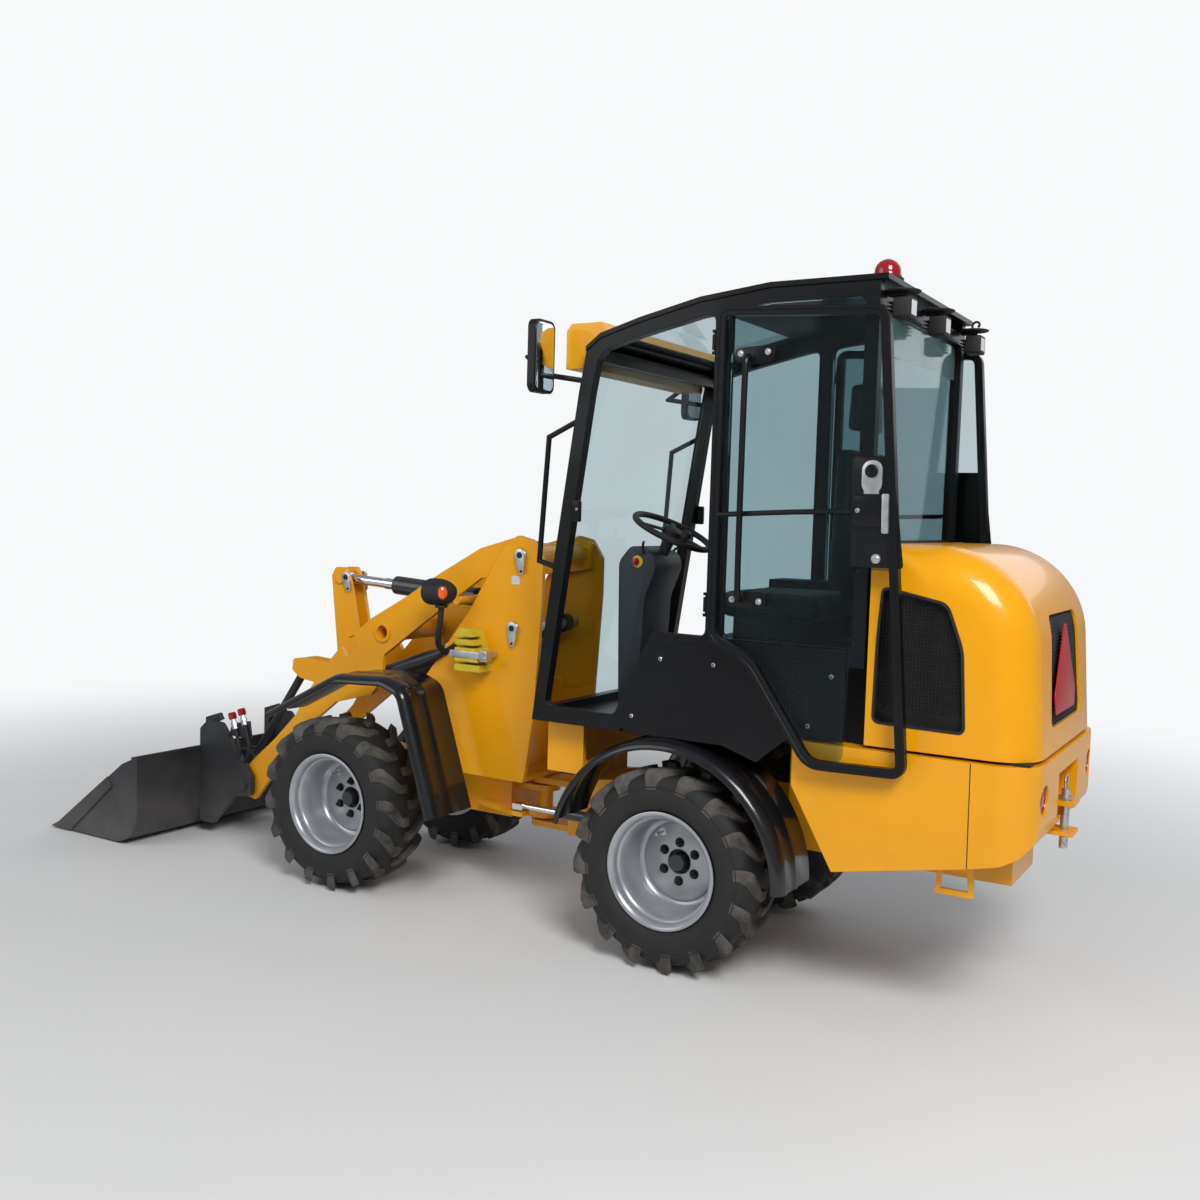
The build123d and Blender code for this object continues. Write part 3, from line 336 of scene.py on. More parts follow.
def box(size, middle):
    """Opens a box of a size round a middle for editing."""
    bpy.ops.object.select_all(action="DESELECT")
    bpy.ops.mesh.primitive_cube_add(size=1, location=(0, 0, 0))
    opened()
    bpy.ops.transform.resize(value=size)
    bpy.ops.transform.translate(value=middle)


def joined(pieces):
    """Makes one object of several."""
    take(pieces[0])
    for piece in pieces:
        piece.select_set(True)
    bpy.ops.object.join()
    return bpy.context.object


def copied(piece, move=(0, 0, 0), turn_z=0):
    """A copy with its own mesh, turned by degrees about the upright axis and moved."""
    take(piece)
    bpy.ops.object.duplicate()
    return set_in_place(move, (0, 0, turn_z))


def repeated(count, axis):
    """Repeats the piece in hand round an axis through the origin, count in all."""
    opened()
    bpy.ops.mesh.spin(steps=count - 1, dupli=True, angle=2 * math.pi * (count - 1) / count, center=(0, 0, 0),
                      axis=axis)
    return set_in_place()


def mirrored(piece):
    """A copy with its own mesh on the machine's other side."""
    copied(piece)
    opened()
    bpy.ops.transform.resize(value=(-1, 1, 1), center_override=(0, 0, 0))
    faced_out()
    return set_in_place()


def made(piece, name, material, body, smooth=35, replaces=()):
    """Names a piece, gives it its finish and shading, and sets it on its body."""
    take(piece)
    bpy.ops.object.shade_smooth_by_angle(angle=math.radians(smooth))
    piece.name = name
    piece.data.materials.clear()
    piece.data.materials.append(material)
    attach(piece, body)
    if replaces:
        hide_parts(*replaces)


def on_wheels(pattern, name, material, smooth=35, replaced="", right_turn=0):
    """Sets a copy of a pattern on each wheel, on the right turned by right_turn, and removes the pattern."""
    for place_name, side, axle_y in wheel_places:
        piece = copied(pattern, (side * wheel_x, axle_y, axle_z), right_turn if side < 0 else 0)
        nodes = [replaced + place_name] if replaced else []
        made(piece, name + place_name, material, "wheel_" + place_name, smooth, nodes)
    bpy.data.objects.remove(pattern)


carcass = lathed(tyre_profile, turn=sideways)
box(lug_size, lug_start)
bpy.ops.transform.rotate(value=lug_lead, orient_axis="X", center_override=(0, 0, 0))
for outwards, back, lowering, widening in lug_steps:
    pick("FACE", lambda middle, normal: normal.x > 0.5)
    bpy.ops.mesh.extrude_region_move(TRANSFORM_OT_translate={"value": (outwards, 0, lowering)})
    bpy.ops.transform.rotate(value=-back, orient_axis="X", center_override=(0, 0, 0))
    bpy.ops.transform.resize(value=(1, widening, 1))
faced_out()
pick("EDGE", lambda middle, along: math.hypot(middle.y, middle.z) > tread_radius)
bpy.ops.mesh.bevel(offset=lug_round, segments=2)
left_lugs = repeated(lug_count, (1, 0, 0))
mirrored(left_lugs)
right_lugs = set_in_place(turn=(180 / lug_count, 0, 0))
lugs = joined([left_lugs, right_lugs])
on_wheels(carcass, "tyre_carcass_", tyre_black, 35, "tyre_")
on_wheels(lugs, "tyre_lugs_", tread_dust)

# Wheels: pressed steel rims welded to a deep-set disc, in silver paint, each held by six nuts
# round a black hub. The valve's stem stands in the disc with a washer round it.
tip = 0.0002  # the radius of a ring that closes into a point


def solid(*points):
    """A profile that is closed at both ends: the points, with a tip level with the first and the last."""
    return ((points[0][0], tip), *points, (points[-1][0], tip))


rim_profile = (
    # distance from the middle plane, radius
    (0.112, 0.1955), (0.112, 0.21), (0.116, 0.2125), (0.1195, 0.212), (0.121, 0.209), (0.1205, 0.2045),
    (0.118, 0.2), (0.11, 0.1925), (0.104, 0.1905), (0.088, 0.1885), (0.084, 0.183), (0.08, 0.179),
    (0.03, 0.1745), (-0.015, 0.172), (-0.033, 0.164), (-0.043, 0.154), (-0.044, 0.148),
    (-0.039, 0.142), (-0.0365, 0.138), (-0.0365, 0.047), (-0.04, 0.044), (-0.07, 0.044),
    (-0.07, 0.154), (-0.09, 0.17), (-0.116, 0.19), (-0.12, 0.2), (-0.12, 0.212),
    (-0.112, 0.212), (-0.112, 0.1955), (0.112, 0.1955),
)
hub_profile = (
    (-0.085, 0.03), (-0.085, 0.07), (-0.041, 0.07), (-0.041, 0.0445), (-0.052, 0.043),
    (-0.052, 0.034), (-0.03, 0.032), (-0.024, 0.028), (-0.023, tip),
)
washer_profile = solid((-0.036, 0.0185), (-0.0335, 0.0175), (-0.0335, 0.015), (-0.035, 0.014))
nut_profile = solid(
    (-0.035, 0.0125), (-0.0235, 0.0125), (-0.0215, 0.0108), (-0.0215, 0.0062), (-0.012, 0.006),
    (-0.011, 0.005),
)
valve_profile = solid(
    (-0.0365, 0.015), (-0.0345, 0.015), (-0.0345, 0.004), (0.005, 0.004), (0.006, 0.0055),
    (0.016, 0.005),
)
nut_count, nut_circle, valve_place = 6, 0.071, (0, -0.07, 0.1)
rim_silver = finish_of("rim_silver", (0.44, 0.46, 0.49), 0.3, (6, 0.1), (400, 0.06), metal=0.55,
                       coat=0.3)
dirtied(rim_silver, (0.16, 0.14, 0.12), 0.1, 0.6, 0.5)
hub_black = finish_of("hub_black", (0.008, 0.008, 0.009), 0.45, (20, 0.3), (300, 0.2))
joined([lathed(washer_profile, 20, (0, 0, nut_circle), sideways),
        lathed(nut_profile, 6, (0, 0, nut_circle), sideways)])
nuts = repeated(nut_count, (1, 0, 0))
valve = lathed(valve_profile, 16, valve_place, sideways)
bare_rim = lathed(rim_profile, turn=sideways)
on_wheels(bare_rim, "wheel_rim_", rim_silver, 40, "rim_", 180)
on_wheels(lathed(hub_profile, 48, turn=sideways), "wheel_hub_", hub_black, right_turn=180)
on_wheels(nuts, "wheel_nuts_", hub_black, right_turn=180)
on_wheels(valve, "tyre_valve_", zinc, right_turn=180)

# Engine hood: one moulded shell, painted yellow, with a long rounded tail and rolled shoulders.
# It is open for a grille on each side and at the back, and hinges at its front top edge.
hood_front, hood_tail, hood_foot, hood_top, hood_half = 1.75, 2.28, 0.905, 1.553, 0.5
hood_wall, tail_lean = 0.01, 0.045
tail_round, front_round, shoulder_round = 0.3, 0.025, 0.135
side_opening = ((1.771, 0.979), (1.775, 1.244), (1.787, 1.421), (2.0, 1.377), (2.053, 1.236), (2.07, 0.973))
side_opening_round = 0.025
rear_opening = ((-0.25, 0.985), (-0.215, 1.34), (0.215, 1.34), (0.25, 0.985))


def modified(kind, **settings):
    """Puts a modifier on the piece in hand and applies it."""
    modifier = bpy.context.object.modifiers.new("shaping", kind)
    for key, value in settings.items():
        setattr(modifier, key, value)
    bpy.ops.object.modifier_apply(modifier=modifier.name)


def sheet_of(outline, across, at):
    """Opens a flat sheet for editing: a disc with one corner for each point, moved to its outline."""
    bpy.ops.object.select_all(action="DESELECT")
    bpy.ops.mesh.primitive_circle_add(vertices=len(outline), radius=1, fill_type="NGON", location=(0, 0, 0))
    for corner, (first, second) in zip(bpy.context.object.data.vertices, outline):
        corner.co = {"X": (at, first, second), "Y": (first, at, second), "Z": (first, second, at)}[across]
    opened("FACE")


def drawn_out(across, distance):
    """In editing, draws what is selected out along an axis and turns all faces outwards."""
    step = [distance if axis == across else 0 for axis in "XYZ"]
    bpy.ops.mesh.extrude_region_move(TRANSFORM_OT_translate={"value": step})
    faced_out()


def plate(outline, across, low, high, bend=0.0, soften=0.0):
    """A plate: a sheet drawn out from low to high, its corners rounded by bend, its rims by soften."""
    sheet_of(outline, across, low)
    drawn_out(across, high - low)
    axis = "XYZ".index(across)
    if bend:
        pick("EDGE", lambda middle, along: abs(along[axis]) > 0.9)
        bpy.ops.mesh.bevel(offset=bend, segments=5)
    if soften:
        pick("EDGE", lambda middle, along: abs(along[axis]) < 0.5)
        bpy.ops.mesh.bevel(offset=soften, segments=2)
    return set_in_place()


side_cutter = plate(side_opening, "X", -0.6, 0.6, side_opening_round)
rear_cutter = plate(rear_opening, "Y", 2.1, 2.4, 0.03)
box((2 * hood_half, hood_tail - hood_front, hood_top - hood_foot),
    (0, (hood_tail + hood_front) / 2, (hood_top + hood_foot) / 2))
pick("EDGE", lambda middle, along: middle.y > hood_tail - 0.01 and middle.z > hood_top - 0.01)
bpy.ops.transform.translate(value=(0, -tail_lean, 0))
bpy.ops.mesh.bevel(offset=tail_round, segments=16)
pick("EDGE", lambda middle, along: middle.y < hood_front + 0.001 and middle.z > hood_top - 0.001)
bpy.ops.mesh.bevel(offset=front_round, segments=4)
pick("EDGE", lambda middle, along: abs(middle.x) > hood_half - 0.001 and abs(along.x) < 0.5
     and middle.z > hood_foot + 0.001 and middle.y > hood_front + 0.001
     and not (middle.y < hood_front + front_round + 0.001 and middle.z > hood_top - front_round - 0.001))
bpy.ops.mesh.bevel(offset=shoulder_round, segments=10)
pick("FACE", lambda middle, normal: normal.y < -0.9 or normal.z < -0.9)
bpy.ops.mesh.delete(type="FACE")
hood = set_in_place()
modified("SOLIDIFY", thickness=hood_wall, offset=-1)
modified("BOOLEAN", object=side_cutter, operation="DIFFERENCE", solver="EXACT")
modified("BOOLEAN", object=rear_cutter, operation="DIFFERENCE", solver="EXACT")
bpy.data.objects.remove(side_cutter)
bpy.data.objects.remove(rear_cutter)
hood_yellow = finish_of("hood_yellow", amber, 0.26, (2.5, 0.04), (500, 0.015), coat=0.35, edge=0.003,
                        shine=0.25)
made(hood, "hood_shell", hood_yellow, "hood", 40, ["engine_hood"])

# Hood seals: black rubber strips round the side openings, and one under the shell that closes
# the gap over the tail casting.
rubber = finish_of("seal_rubber", (0.01, 0.01, 0.011), 0.6, (30, 0.2), (700, 0.15))
seal_inside, seal_outside = hood_half - 0.006, hood_half + 0.0015


def rectangle(first_low, second_low, first_high, second_high):
    """The outline between two corners."""
    return ((first_low, second_low), (first_low, second_high), (first_high, second_high),
            (first_high, second_low))


def frame_strip(outline, across, low, high, width, bend):
    """A flat ring: the sheet's rim, as wide as told, drawn out from low to high."""
    sheet_of(outline, across, low)
    if bend:
        opened()
        bpy.ops.mesh.bevel(offset=bend, segments=5, affect="VERTICES")
    opened("FACE")
    bpy.ops.mesh.inset(thickness=width)
    bpy.ops.mesh.delete(type="FACE")
    bpy.ops.mesh.select_all(action="SELECT")
    drawn_out(across, high - low)
    return set_in_place()


seals = [frame_strip(side_opening, "X", low, high, 0.009, side_opening_round)
         for low, high in ((seal_inside, seal_outside), (-seal_outside, -seal_inside))]
seals.append(frame_strip(rectangle(-0.478, 1.752, 0.478, 2.262), "Z", 0.8958, 0.9042, 0.02, 0))
made(joined(seals), "hood_seals", rubber, "hood")

# Hood grilles: woven black wire mesh behind the openings, so that air reaches the radiator and
# dirt does not. Behind each mesh is a dark sheet of painted shade, standing in for the dark engine bay.
wire_pitch, wire_width, mesh_margin = 0.011, 0.0042, 0.012
mesh_depth, rear_mesh_depth = 0.013, 0.014
tail_arc_y, tail_arc_z, tail_arc_radius = 1.935, 1.231, 0.3216
side_shade_sheet = ((1.762, 0.96), (1.768, 1.44), (2.02, 1.4), (2.085, 0.96))
rear_shade_sheet = ((-0.27, 0.965), (-0.232, 1.355), (0.232, 1.355), (0.27, 0.965))
mesh_black = finish_of("mesh_black", (0.018, 0.019, 0.021), 0.42, (20, 0.2), (300, 0.1))


def inside(outline, first, second, margin):
    """Whether a point lies in a convex outline made bigger by margin."""
    middle = [sum(values) / len(outline) for values in zip(*outline)]
    for (a, b), (c, d) in zip(outline, (*outline[1:], outline[0])):
        run = math.hypot(c - a, d - b)
        out = ((d - b) / run, (a - c) / run)
        if (middle[0] - a) * out[0] + (middle[1] - b) * out[1] > 0:
            out = (-out[0], -out[1])
        if (first - a) * out[0] + (second - b) * out[1] > margin:
            return False
    return True


def rear_skin(z):
    """How far back the hood's rear face is at a height."""
    if z > tail_arc_z + 0.02:
        return tail_arc_y + math.sqrt(tail_arc_radius**2 - (z - tail_arc_z)**2)
    return hood_tail - tail_lean * (z - hood_foot) / (hood_top - hood_foot)


def wire_mesh(width, height, middle, turn, kept):
    """A woven sheet before it is wired: a fine grid, cut to the cells that are kept."""
    bpy.ops.object.select_all(action="DESELECT")
    bpy.ops.mesh.primitive_grid_add(x_subdivisions=round(width / wire_pitch),
                                    y_subdivisions=round(height / wire_pitch), size=1, location=(0, 0, 0))
    bpy.context.object.scale = (width, height, 1)
    set_in_place(middle, turn)
    opened()
    pick("FACE", lambda centre, normal: not kept(centre))
    bpy.ops.mesh.delete(type="FACE")
    return set_in_place()


meshes = [wire_mesh(0.36, 0.5, (side * (hood_half - mesh_depth), 1.92, 1.2), sideways,
                    lambda centre: inside(side_opening, centre.y, centre.z, mesh_margin)) for side in (1, -1)]
rear_panel = wire_mesh(0.54, 0.38, (0, 2.2, 1.1625), (90, 0, 0),
                       lambda centre: inside(rear_opening, centre.x, centre.z, mesh_margin))
for corner in rear_panel.data.vertices:
    corner.co.y = rear_skin(corner.co.z) - rear_mesh_depth
grille = joined([*meshes, rear_panel])
modified("WIREFRAME", thickness=wire_width, use_even_offset=False)
made(grille, "hood_mesh", mesh_black, "hood", 20, ["hood_grilles"])
# Dark sheets behind the meshes: painted shade for the engine bay, not a real part.
shade_sheets = [plate(side_shade_sheet, "X", low, high) for low, high in ((0.462, 0.466), (-0.466, -0.462))]
shade_sheets.append(plate(rear_shade_sheet, "Y", 2.194, 2.198))
made(joined(shade_sheets), "grille_shade_sheets", rubber, "hood")

# Tail reflector: a flat red plastic triangle with its corners cut, screwed over the rear grille,
# where it leans with the hood's rear face.
reflector_outline = ((-0.12, 1.08), (0.032, 1.306), (0.068, 1.306), (0.22, 1.08), (0.204, 1.022),
                     (-0.104, 1.022))
reflector_y, reflector_foot, reflector_slope = 2.2735, 1.022, 0.052
plate_red = finish_of("plate_red", (0.45, 0.004, 0.01), 0.4, (12, 0.1), (900, 0.15), coat=0.2,
                      edge=0.002, shine=0.3)
reflector = plate(reflector_outline, "Y", 0, 0.004, 0.008, 0.001)
for corner in reflector.data.vertices:
    corner.co.y += reflector_y - reflector_slope * (corner.co.z - reflector_foot)
made(reflector, "red_reflector", plate_red, "hood", 35, ["rear_triangle"])

# Tail grooves: the thin joint on each side where the sheet steel meets the tail casting, filled
# with black sealant.
groove_outline = ((2.0975, 0.566), (2.0935, 0.893), (2.0965, 0.893), (2.1005, 0.566))
grooves = [plate(groove_outline, "X", low, high) for low, high in ((0.52, 0.5206), (-0.5206, -0.52))]
made(joined(grooves), "tail_grooves", rubber, "chassis")

# Tail lamps: round red moulded lenses with raised rings, one on each side, pressed into the
# tail casting up to their rims.
lens_profile = (
    (0.0, 0.0485), (0.01, 0.0485), (0.012, 0.047), (0.012, 0.044), (0.008, 0.043), (0.011, 0.04),
    (0.0085, 0.037), (0.0115, 0.033), (0.009, 0.029), (0.013, 0.018), (0.014, 0.009), (0.0142, tip),
)
tail_lamp_x, tail_lamp_y, tail_lamp_z = 0.375, 2.2705, 0.78
lens_red = finish_of("lens_red", (0.3, 0.003, 0.005), 0.15, (20, 0.1), (150, 0.15), coat=0.5)
for side, name, replaced, slot in ((1, "left", ["tail_lamps"], "red_lens"), (-1, "right", [], "")):
    lens = lathed(lens_profile, 48, (side * tail_lamp_x, tail_lamp_y, tail_lamp_z), (-90, 0, 0))
    made(lens, "tail_lens_" + name, lens_red, "chassis", 35, replaced)

# Beacon: a red moulded dome on a black rubber foot, screwed on the roof's left rear corner.
# The dome is drawn in at its neck, where it clips to the foot.
beacon_place = (0.35, 1.71, 2.3984)
foot_profile = solid((0, 0.05), (0.003, 0.052), (0.01, 0.052), (0.014, 0.048))
dome_profile = (
    (0.0145, tip), (0.0145, 0.044), (0.018, 0.0455), (0.024, 0.043), (0.03, 0.0435), (0.044, 0.0415),
    (0.056, 0.036), (0.065, 0.027), (0.0715, 0.014), (0.0735, tip),
)
made(lathed(foot_profile, 40, beacon_place), "beacon_foot", rubber, "chassis")
made(lathed(dome_profile, 40, beacon_place), "beacon_dome", lens_red, "chassis", 60, ["beacon"])

# Doors: a rolled steel ring with rounded corners round each pane, hung on two knuckles, with a
# grab rail and a cross bar bolted through the pane and a lock on a black plate by the far edge.
door_in, door_out, knuckle_place = 0.546, 0.574, (0.543, 1.195)
door_outline = ((1.211, 1.205), (1.211, 2.318), (1.795, 2.287), (1.912, 0.825), (1.581, 0.817),
                (1.354, 1.144))
door_bend, ring_width, lip_width = 0.045, 0.03, 0.012
pane_outline = ((1.238, 1.222), (1.238, 2.29), (1.769, 2.262), (1.868, 1.47), (1.716, 1.47), (1.701, 0.846),
                (1.596, 0.846), (1.371, 1.171))
knuckle_profile = ((0, 0.0085), (0, 0.013), (0.05, 0.013), (0.05, 0.0085), (0, 0.0085))
bracket_in, bracket_out = 0.5625, 0.5675
bracket_outline = ((1.275, 0.024), (1.275, -0.022), (1.345, -0.028), (1.42, -0.024), (1.42, 0.03),
                   (1.345, 0.03))
rail_route = ((0.5635, 1.33, 2.148), (0.6, 1.33, 2.148), (0.6, 1.33, 1.352), (0.5635, 1.33, 1.352))
bar_route = ((0.572, 1.236, 1.63), (0.572, 1.5, 1.645), (0.572, 1.705, 1.652))
lock_plate = ((1.7, 1.478), (1.697, 1.824), (1.826, 1.824), (1.873, 1.478))
knob_profile = solid((0, 0.02), (0.009, 0.021), (0.013, 0.018), (0.014, 0.012), (0.011, 0.01))
lever_outline = ((1.803, 1.585), (1.8, 1.708), (1.822, 1.708), (1.826, 1.585))
door_screws = (
    # y, z, radius
    (1.298, 2.16, 0.007), (1.395, 2.162, 0.007), (1.298, 1.35, 0.007), (1.395, 1.348, 0.007),
    (1.785, 1.506, 0.01),
)


def both_sides(pieces):
    """The pieces and their mirror images, as one object."""
    one_side = joined(pieces)
    return joined([one_side, mirrored(one_side)])


def tube(points, radius, round_bends=True):
    """A round bar with a tight bend at each point, or a hose that swings past the points."""
    bpy.ops.object.select_all(action="DESELECT")
    bpy.ops.curve.primitive_nurbs_path_add(location=(0, 0, 0))
    path = bpy.context.object
    spline = path.data.splines[0]
    route = [Vector(point) for point in points]
    if round_bends:
        bends = []
        for start, corner, end in zip(route, route[1:], route[2:]):
            for other in (start, end):
                step = other - corner
                bends.append(corner + step.normalized() * min(0.03, step.length / 3))
        route = [route[0], *bends, route[-1]]
    while len(route) < 5:
        route.append(route[-1] + (route[-1] - route[-2]).normalized() * 0.0005)
    spline.points.add(len(route) - 5)
    for control, place in zip(spline.points, route):
        control.co = (*place, 1)
    spline.order_u = 3
    spline.resolution_u = 5
    spline.use_endpoint_u = True
    path.data.bevel_depth = radius
    path.data.bevel_resolution = 3
    path.data.use_fill_caps = True
    bpy.ops.object.convert(target="MESH")
    return bpy.context.object


def screw(place, radius):
    """A round-headed socket screw on its washer, driven in from the left."""
    profile = ((0, tip), (0, radius * 1.5), (0.0015, radius * 1.5), (0.0015, radius), (0.004, radius * 0.92),
               (0.006, radius * 0.6), (0.006, radius * 0.42), (0.003, radius * 0.4), (0.003, tip))
    return lathed(profile, 20, place, sideways)


ring_parts = [
    frame_strip(door_outline, "X", door_in, door_out, ring_width, door_bend),
    frame_strip(door_outline, "X", door_out - 0.002, door_out + 0.0025, lip_width, door_bend),
]
for low in (1.3, 2.18):
    ring_parts.append(lathed(knuckle_profile, 24, (*knuckle_place, low)))
    ring_parts.append(plate(rectangle(1.203, low + 0.004, 1.222, low + 0.046), "X", 0.541, 0.556))
for middle_z in (2.152, 1.35):
    outline = [(y, middle_z + rise) for y, rise in bracket_outline]
    ring_parts.append(plate(outline, "X", bracket_in, bracket_out, 0.018, 0.0015))
ring_parts += [
    tube(rail_route, 0.0105),
    tube(bar_route, 0.009),
    plate(lock_plate, "X", bracket_in, bracket_out, 0.012, 0.001),
    plate(rectangle(1.703, 1.603, 1.8, 1.704), "X", 0.567, 0.576, 0.008, 0.003),
    lathed(knob_profile, 28, (0.5695, 1.762, 1.778), sideways),
]
lock_parts = [
    plate(rectangle(1.729, 1.708, 1.795, 1.812), "X", 0.567, 0.57, 0.031, 0.001),
    plate(rectangle(1.738, 1.707, 1.786, 1.76), "X", 0.5672, 0.5702),
    plate(lever_outline, "X", 0.568, 0.584, 0.006, 0.002),
    *[screw((bracket_out, y, z), radius) for y, z, radius in door_screws],
    screw((0.576, 1.722, 1.655), 0.005),
]
left_door = (joined(ring_parts), joined(lock_parts), plate(pane_outline, "X", 0.556, 0.562, 0.028))
right_door = [mirrored(piece) for piece in left_door]
for name, (ring, lock, pane) in (("left", left_door), ("right", right_door)):
    body = "door_" + name
    made(ring, "door_ring_" + name, cab_black, body, 35, [f"door_{name}_frame"])
    made(lock, "door_lock_" + name, zinc, body)
    made(pane, "door_pane_" + name, tinted_glass, body, 35, [f"door_{name}_glass"])

# Side panel screws and door catches: plated socket screws that hold the black panels, and a
# catch block with its striker screw on each front post, which the closed lock meets.
panel_face, panel_screw_radius = 0.503, 0.0085
panel_screw_places = ((1.002, 1.119), (1.209, 1.116), (0.892, 0.904), (1.634, 1.115), (1.56, 0.945))
catch = plate(rectangle(0.612, 1.59, 0.648, 1.668), "X", 0.49, 0.5085, 0.006, 0.002)
made(both_sides([catch]), "door_catches", cab_black, "chassis")
panel_screws = [screw((panel_face, y, z), panel_screw_radius) for y, z in panel_screw_places]
made(both_sides([screw((panel_face, 0.636, 1.636), 0.007), *panel_screws]), "panel_screws", zinc, "chassis")

# Tower plate: a small blank plate of pale aluminium, glued on the tower under the upper keeper.
# The work lamps further down have plates of the same sheet.
blank_white = finish_of("blank_plate", (0.62, 0.63, 0.63), 0.35, (20, 0.06), (500, 0.05))
made(plate(rectangle(0.16, 1.327, 0.2, 1.362), "X", 0.2352, 0.2366, 0.003), "tower_plate", blank_white,
     "front_unit")

# Rear fenders: moulded black arches over the wheels, with two rolled ridges and a turned-down lip,
# held to the side of the cab's tub by their inner edge.
fender_crown, fender_turn = 1.508, 165.8
fender_section = (
    # distance from the middle plane, height at the start of the arch
    (0.3, 1.508), (0.408, 1.508), (0.418, 1.513), (0.43, 1.513), (0.44, 1.508), (0.492, 1.508),
    (0.502, 1.512), (0.52, 1.511), (0.54, 1.505), (0.554, 1.495), (0.56, 1.482), (0.56, 1.474),
    (0.555, 1.474), (0.554, 1.482), (0.549, 1.491), (0.536, 1.499), (0.519, 1.505), (0.503, 1.506),
    (0.491, 1.502), (0.441, 1.502), (0.429, 1.507), (0.419, 1.507), (0.409, 1.502), (0.3, 1.502),
)
fender_black = finish_of("fender_black", (0.006, 0.0065, 0.008), 0.24, (4, 0.2), (300, 0.08), coat=0.35,
                         shine=0.35)
dirtied(fender_black, (0.07, 0.06, 0.05), 0.3, 0.9, 0.25)
sheet_of(fender_section, "Z", axle_z)
bpy.ops.mesh.spin(steps=40, angle=-math.radians(fender_turn), center=(0, rear_axle_y, axle_z), axis=(1, 0, 0))
closed_up()
rear_arches = both_sides([set_in_place()])
made(rear_arches, "rear_arches", fender_black, "chassis", 40, ["rear_fenders"])

# Front fenders: the same black moulding bent along a route over each front wheel and down behind
# it, held to the tower by its inner edge.
front_route = ((-0.912, 0.725), (-0.516, 0.924), (-0.243, 0.937), (-0.137, 0.899), (0.029, 0.4))
front_bends = (0.16, 0.15, 0.085)
front_section = [(x, height - fender_crown) for x, height in fender_section]
legs = [(Vector(end) - Vector(start)) for start, end in zip(front_route, front_route[1:])]
headings = [math.atan2(leg.y, leg.x) for leg in legs]
turns = [before - after for before, after in zip(headings, headings[1:])]
setbacks = [0, *[bend * math.tan(turn / 2) for bend, turn in zip(front_bends, turns)], 0]
sheet_of(front_section, "Y", 0)
set_in_place((0, *front_route[0]), (math.degrees(headings[0]), 0, 0))
opened()
reached = Vector(front_route[0])
for number, leg in enumerate(legs):
    ahead = leg.normalized()
    step = ahead * (leg.length - setbacks[number] - setbacks[number + 1])
    bpy.ops.mesh.extrude_region_move(TRANSFORM_OT_translate={"value": (0, step.x, step.y)})
    reached += step
    if number < len(turns):
        hub = reached + Vector((ahead.y, -ahead.x)) * front_bends[number]
        bpy.ops.mesh.spin(steps=8, angle=turns[number], center=(0, hub.x, hub.y), axis=(1, 0, 0))
        reached = Vector(front_route[number + 1]) + legs[number + 1].normalized() * setbacks[number + 1]
closed_up()
front_arches = both_sides([set_in_place()])
made(front_arches, "front_arches", fender_black, "front_unit", 40, ["front_fenders"])

# Mirrors: silvered glass with rounded corners, clipped in the rear face of each black head.
# The heads and their arms are the solids'.
mirror_silver = finish_of("mirror_silver", (0.78, 0.82, 0.86), 0.03, (3, 0.02), (50, 0.0), metal=1.0)
mirror_glass = plate(rectangle(0.534, 2.06, 0.646, 2.3), "Y", 0.5345, 0.5375, 0.026, 0.001)
made(both_sides([mirror_glass]), "mirror_glasses", mirror_silver, "chassis")

# Front lamps: black moulded housings on the tower's stalks, each with a clear lens to the front
# and an orange flasher in its rear face.
pod_x, pod_z = 0.33, 1.282
pod_profile = (
    (0, 0.046), (-0.003, 0.053), (0, 0.0585), (0.012, 0.061), (0.05, 0.06), (0.08, 0.053),
    (0.102, 0.041), (0.116, 0.025), (0.122, tip),
)
stalk_route = ((pod_x, -0.125, 1.232), (pod_x, -0.128, 1.16), (0.318, -0.15, 1.095), (0.285, -0.172, 1.045),
               (0.232, -0.172, 1.018))
collar_profile = solid((0, 0.026), (0.012, 0.026), (0.014, 0.022))
flasher_profile = ((0, tip), (0, 0.028), (0.01, 0.027), (0.017, 0.023), (0.021, 0.014), (0.022, tip))
lamp_lens_profile = (
    (0, tip), (0, 0.046), (0.002, 0.047), (0.005, 0.045), (0.008, 0.035), (0.01, 0.018), (0.0105, tip),
)
flasher_orange = finish_of("flasher_orange", (0.85, 0.12, 0.01), 0.2, (20, 0.1), (200, 0.2), coat=0.6)
lamp_glass = finish_of("lamp_glass", (0.7, 0.72, 0.74), 0.08, (30, 0.2), (120, 0.5), metal=0.4,
                       coat=1.0)
pod_parts = [
    lathed(pod_profile, 40, (pod_x, -0.182, pod_z), (-90, 0, 0), squash=(1.12, 0.92, 1)),
    tube(stalk_route, 0.013, False),
    lathed(collar_profile, 28, (pod_x, -0.125, 1.218)),
]
made(both_sides(pod_parts), "lamp_pods", rubber, "front_unit", 40, ["front_lamps"])
flasher = lathed(flasher_profile, 32, (0.366, -0.093, pod_z), (-90, 0, -37), squash=(0.75, 1, 1))
made(both_sides([flasher]), "flashers", flasher_orange, "front_unit")
front_lens = lathed(lamp_lens_profile, 40, (pod_x, -0.1815, pod_z), (90, 0, 0))
made(both_sides([front_lens]), "front_lenses", lamp_glass, "front_unit")

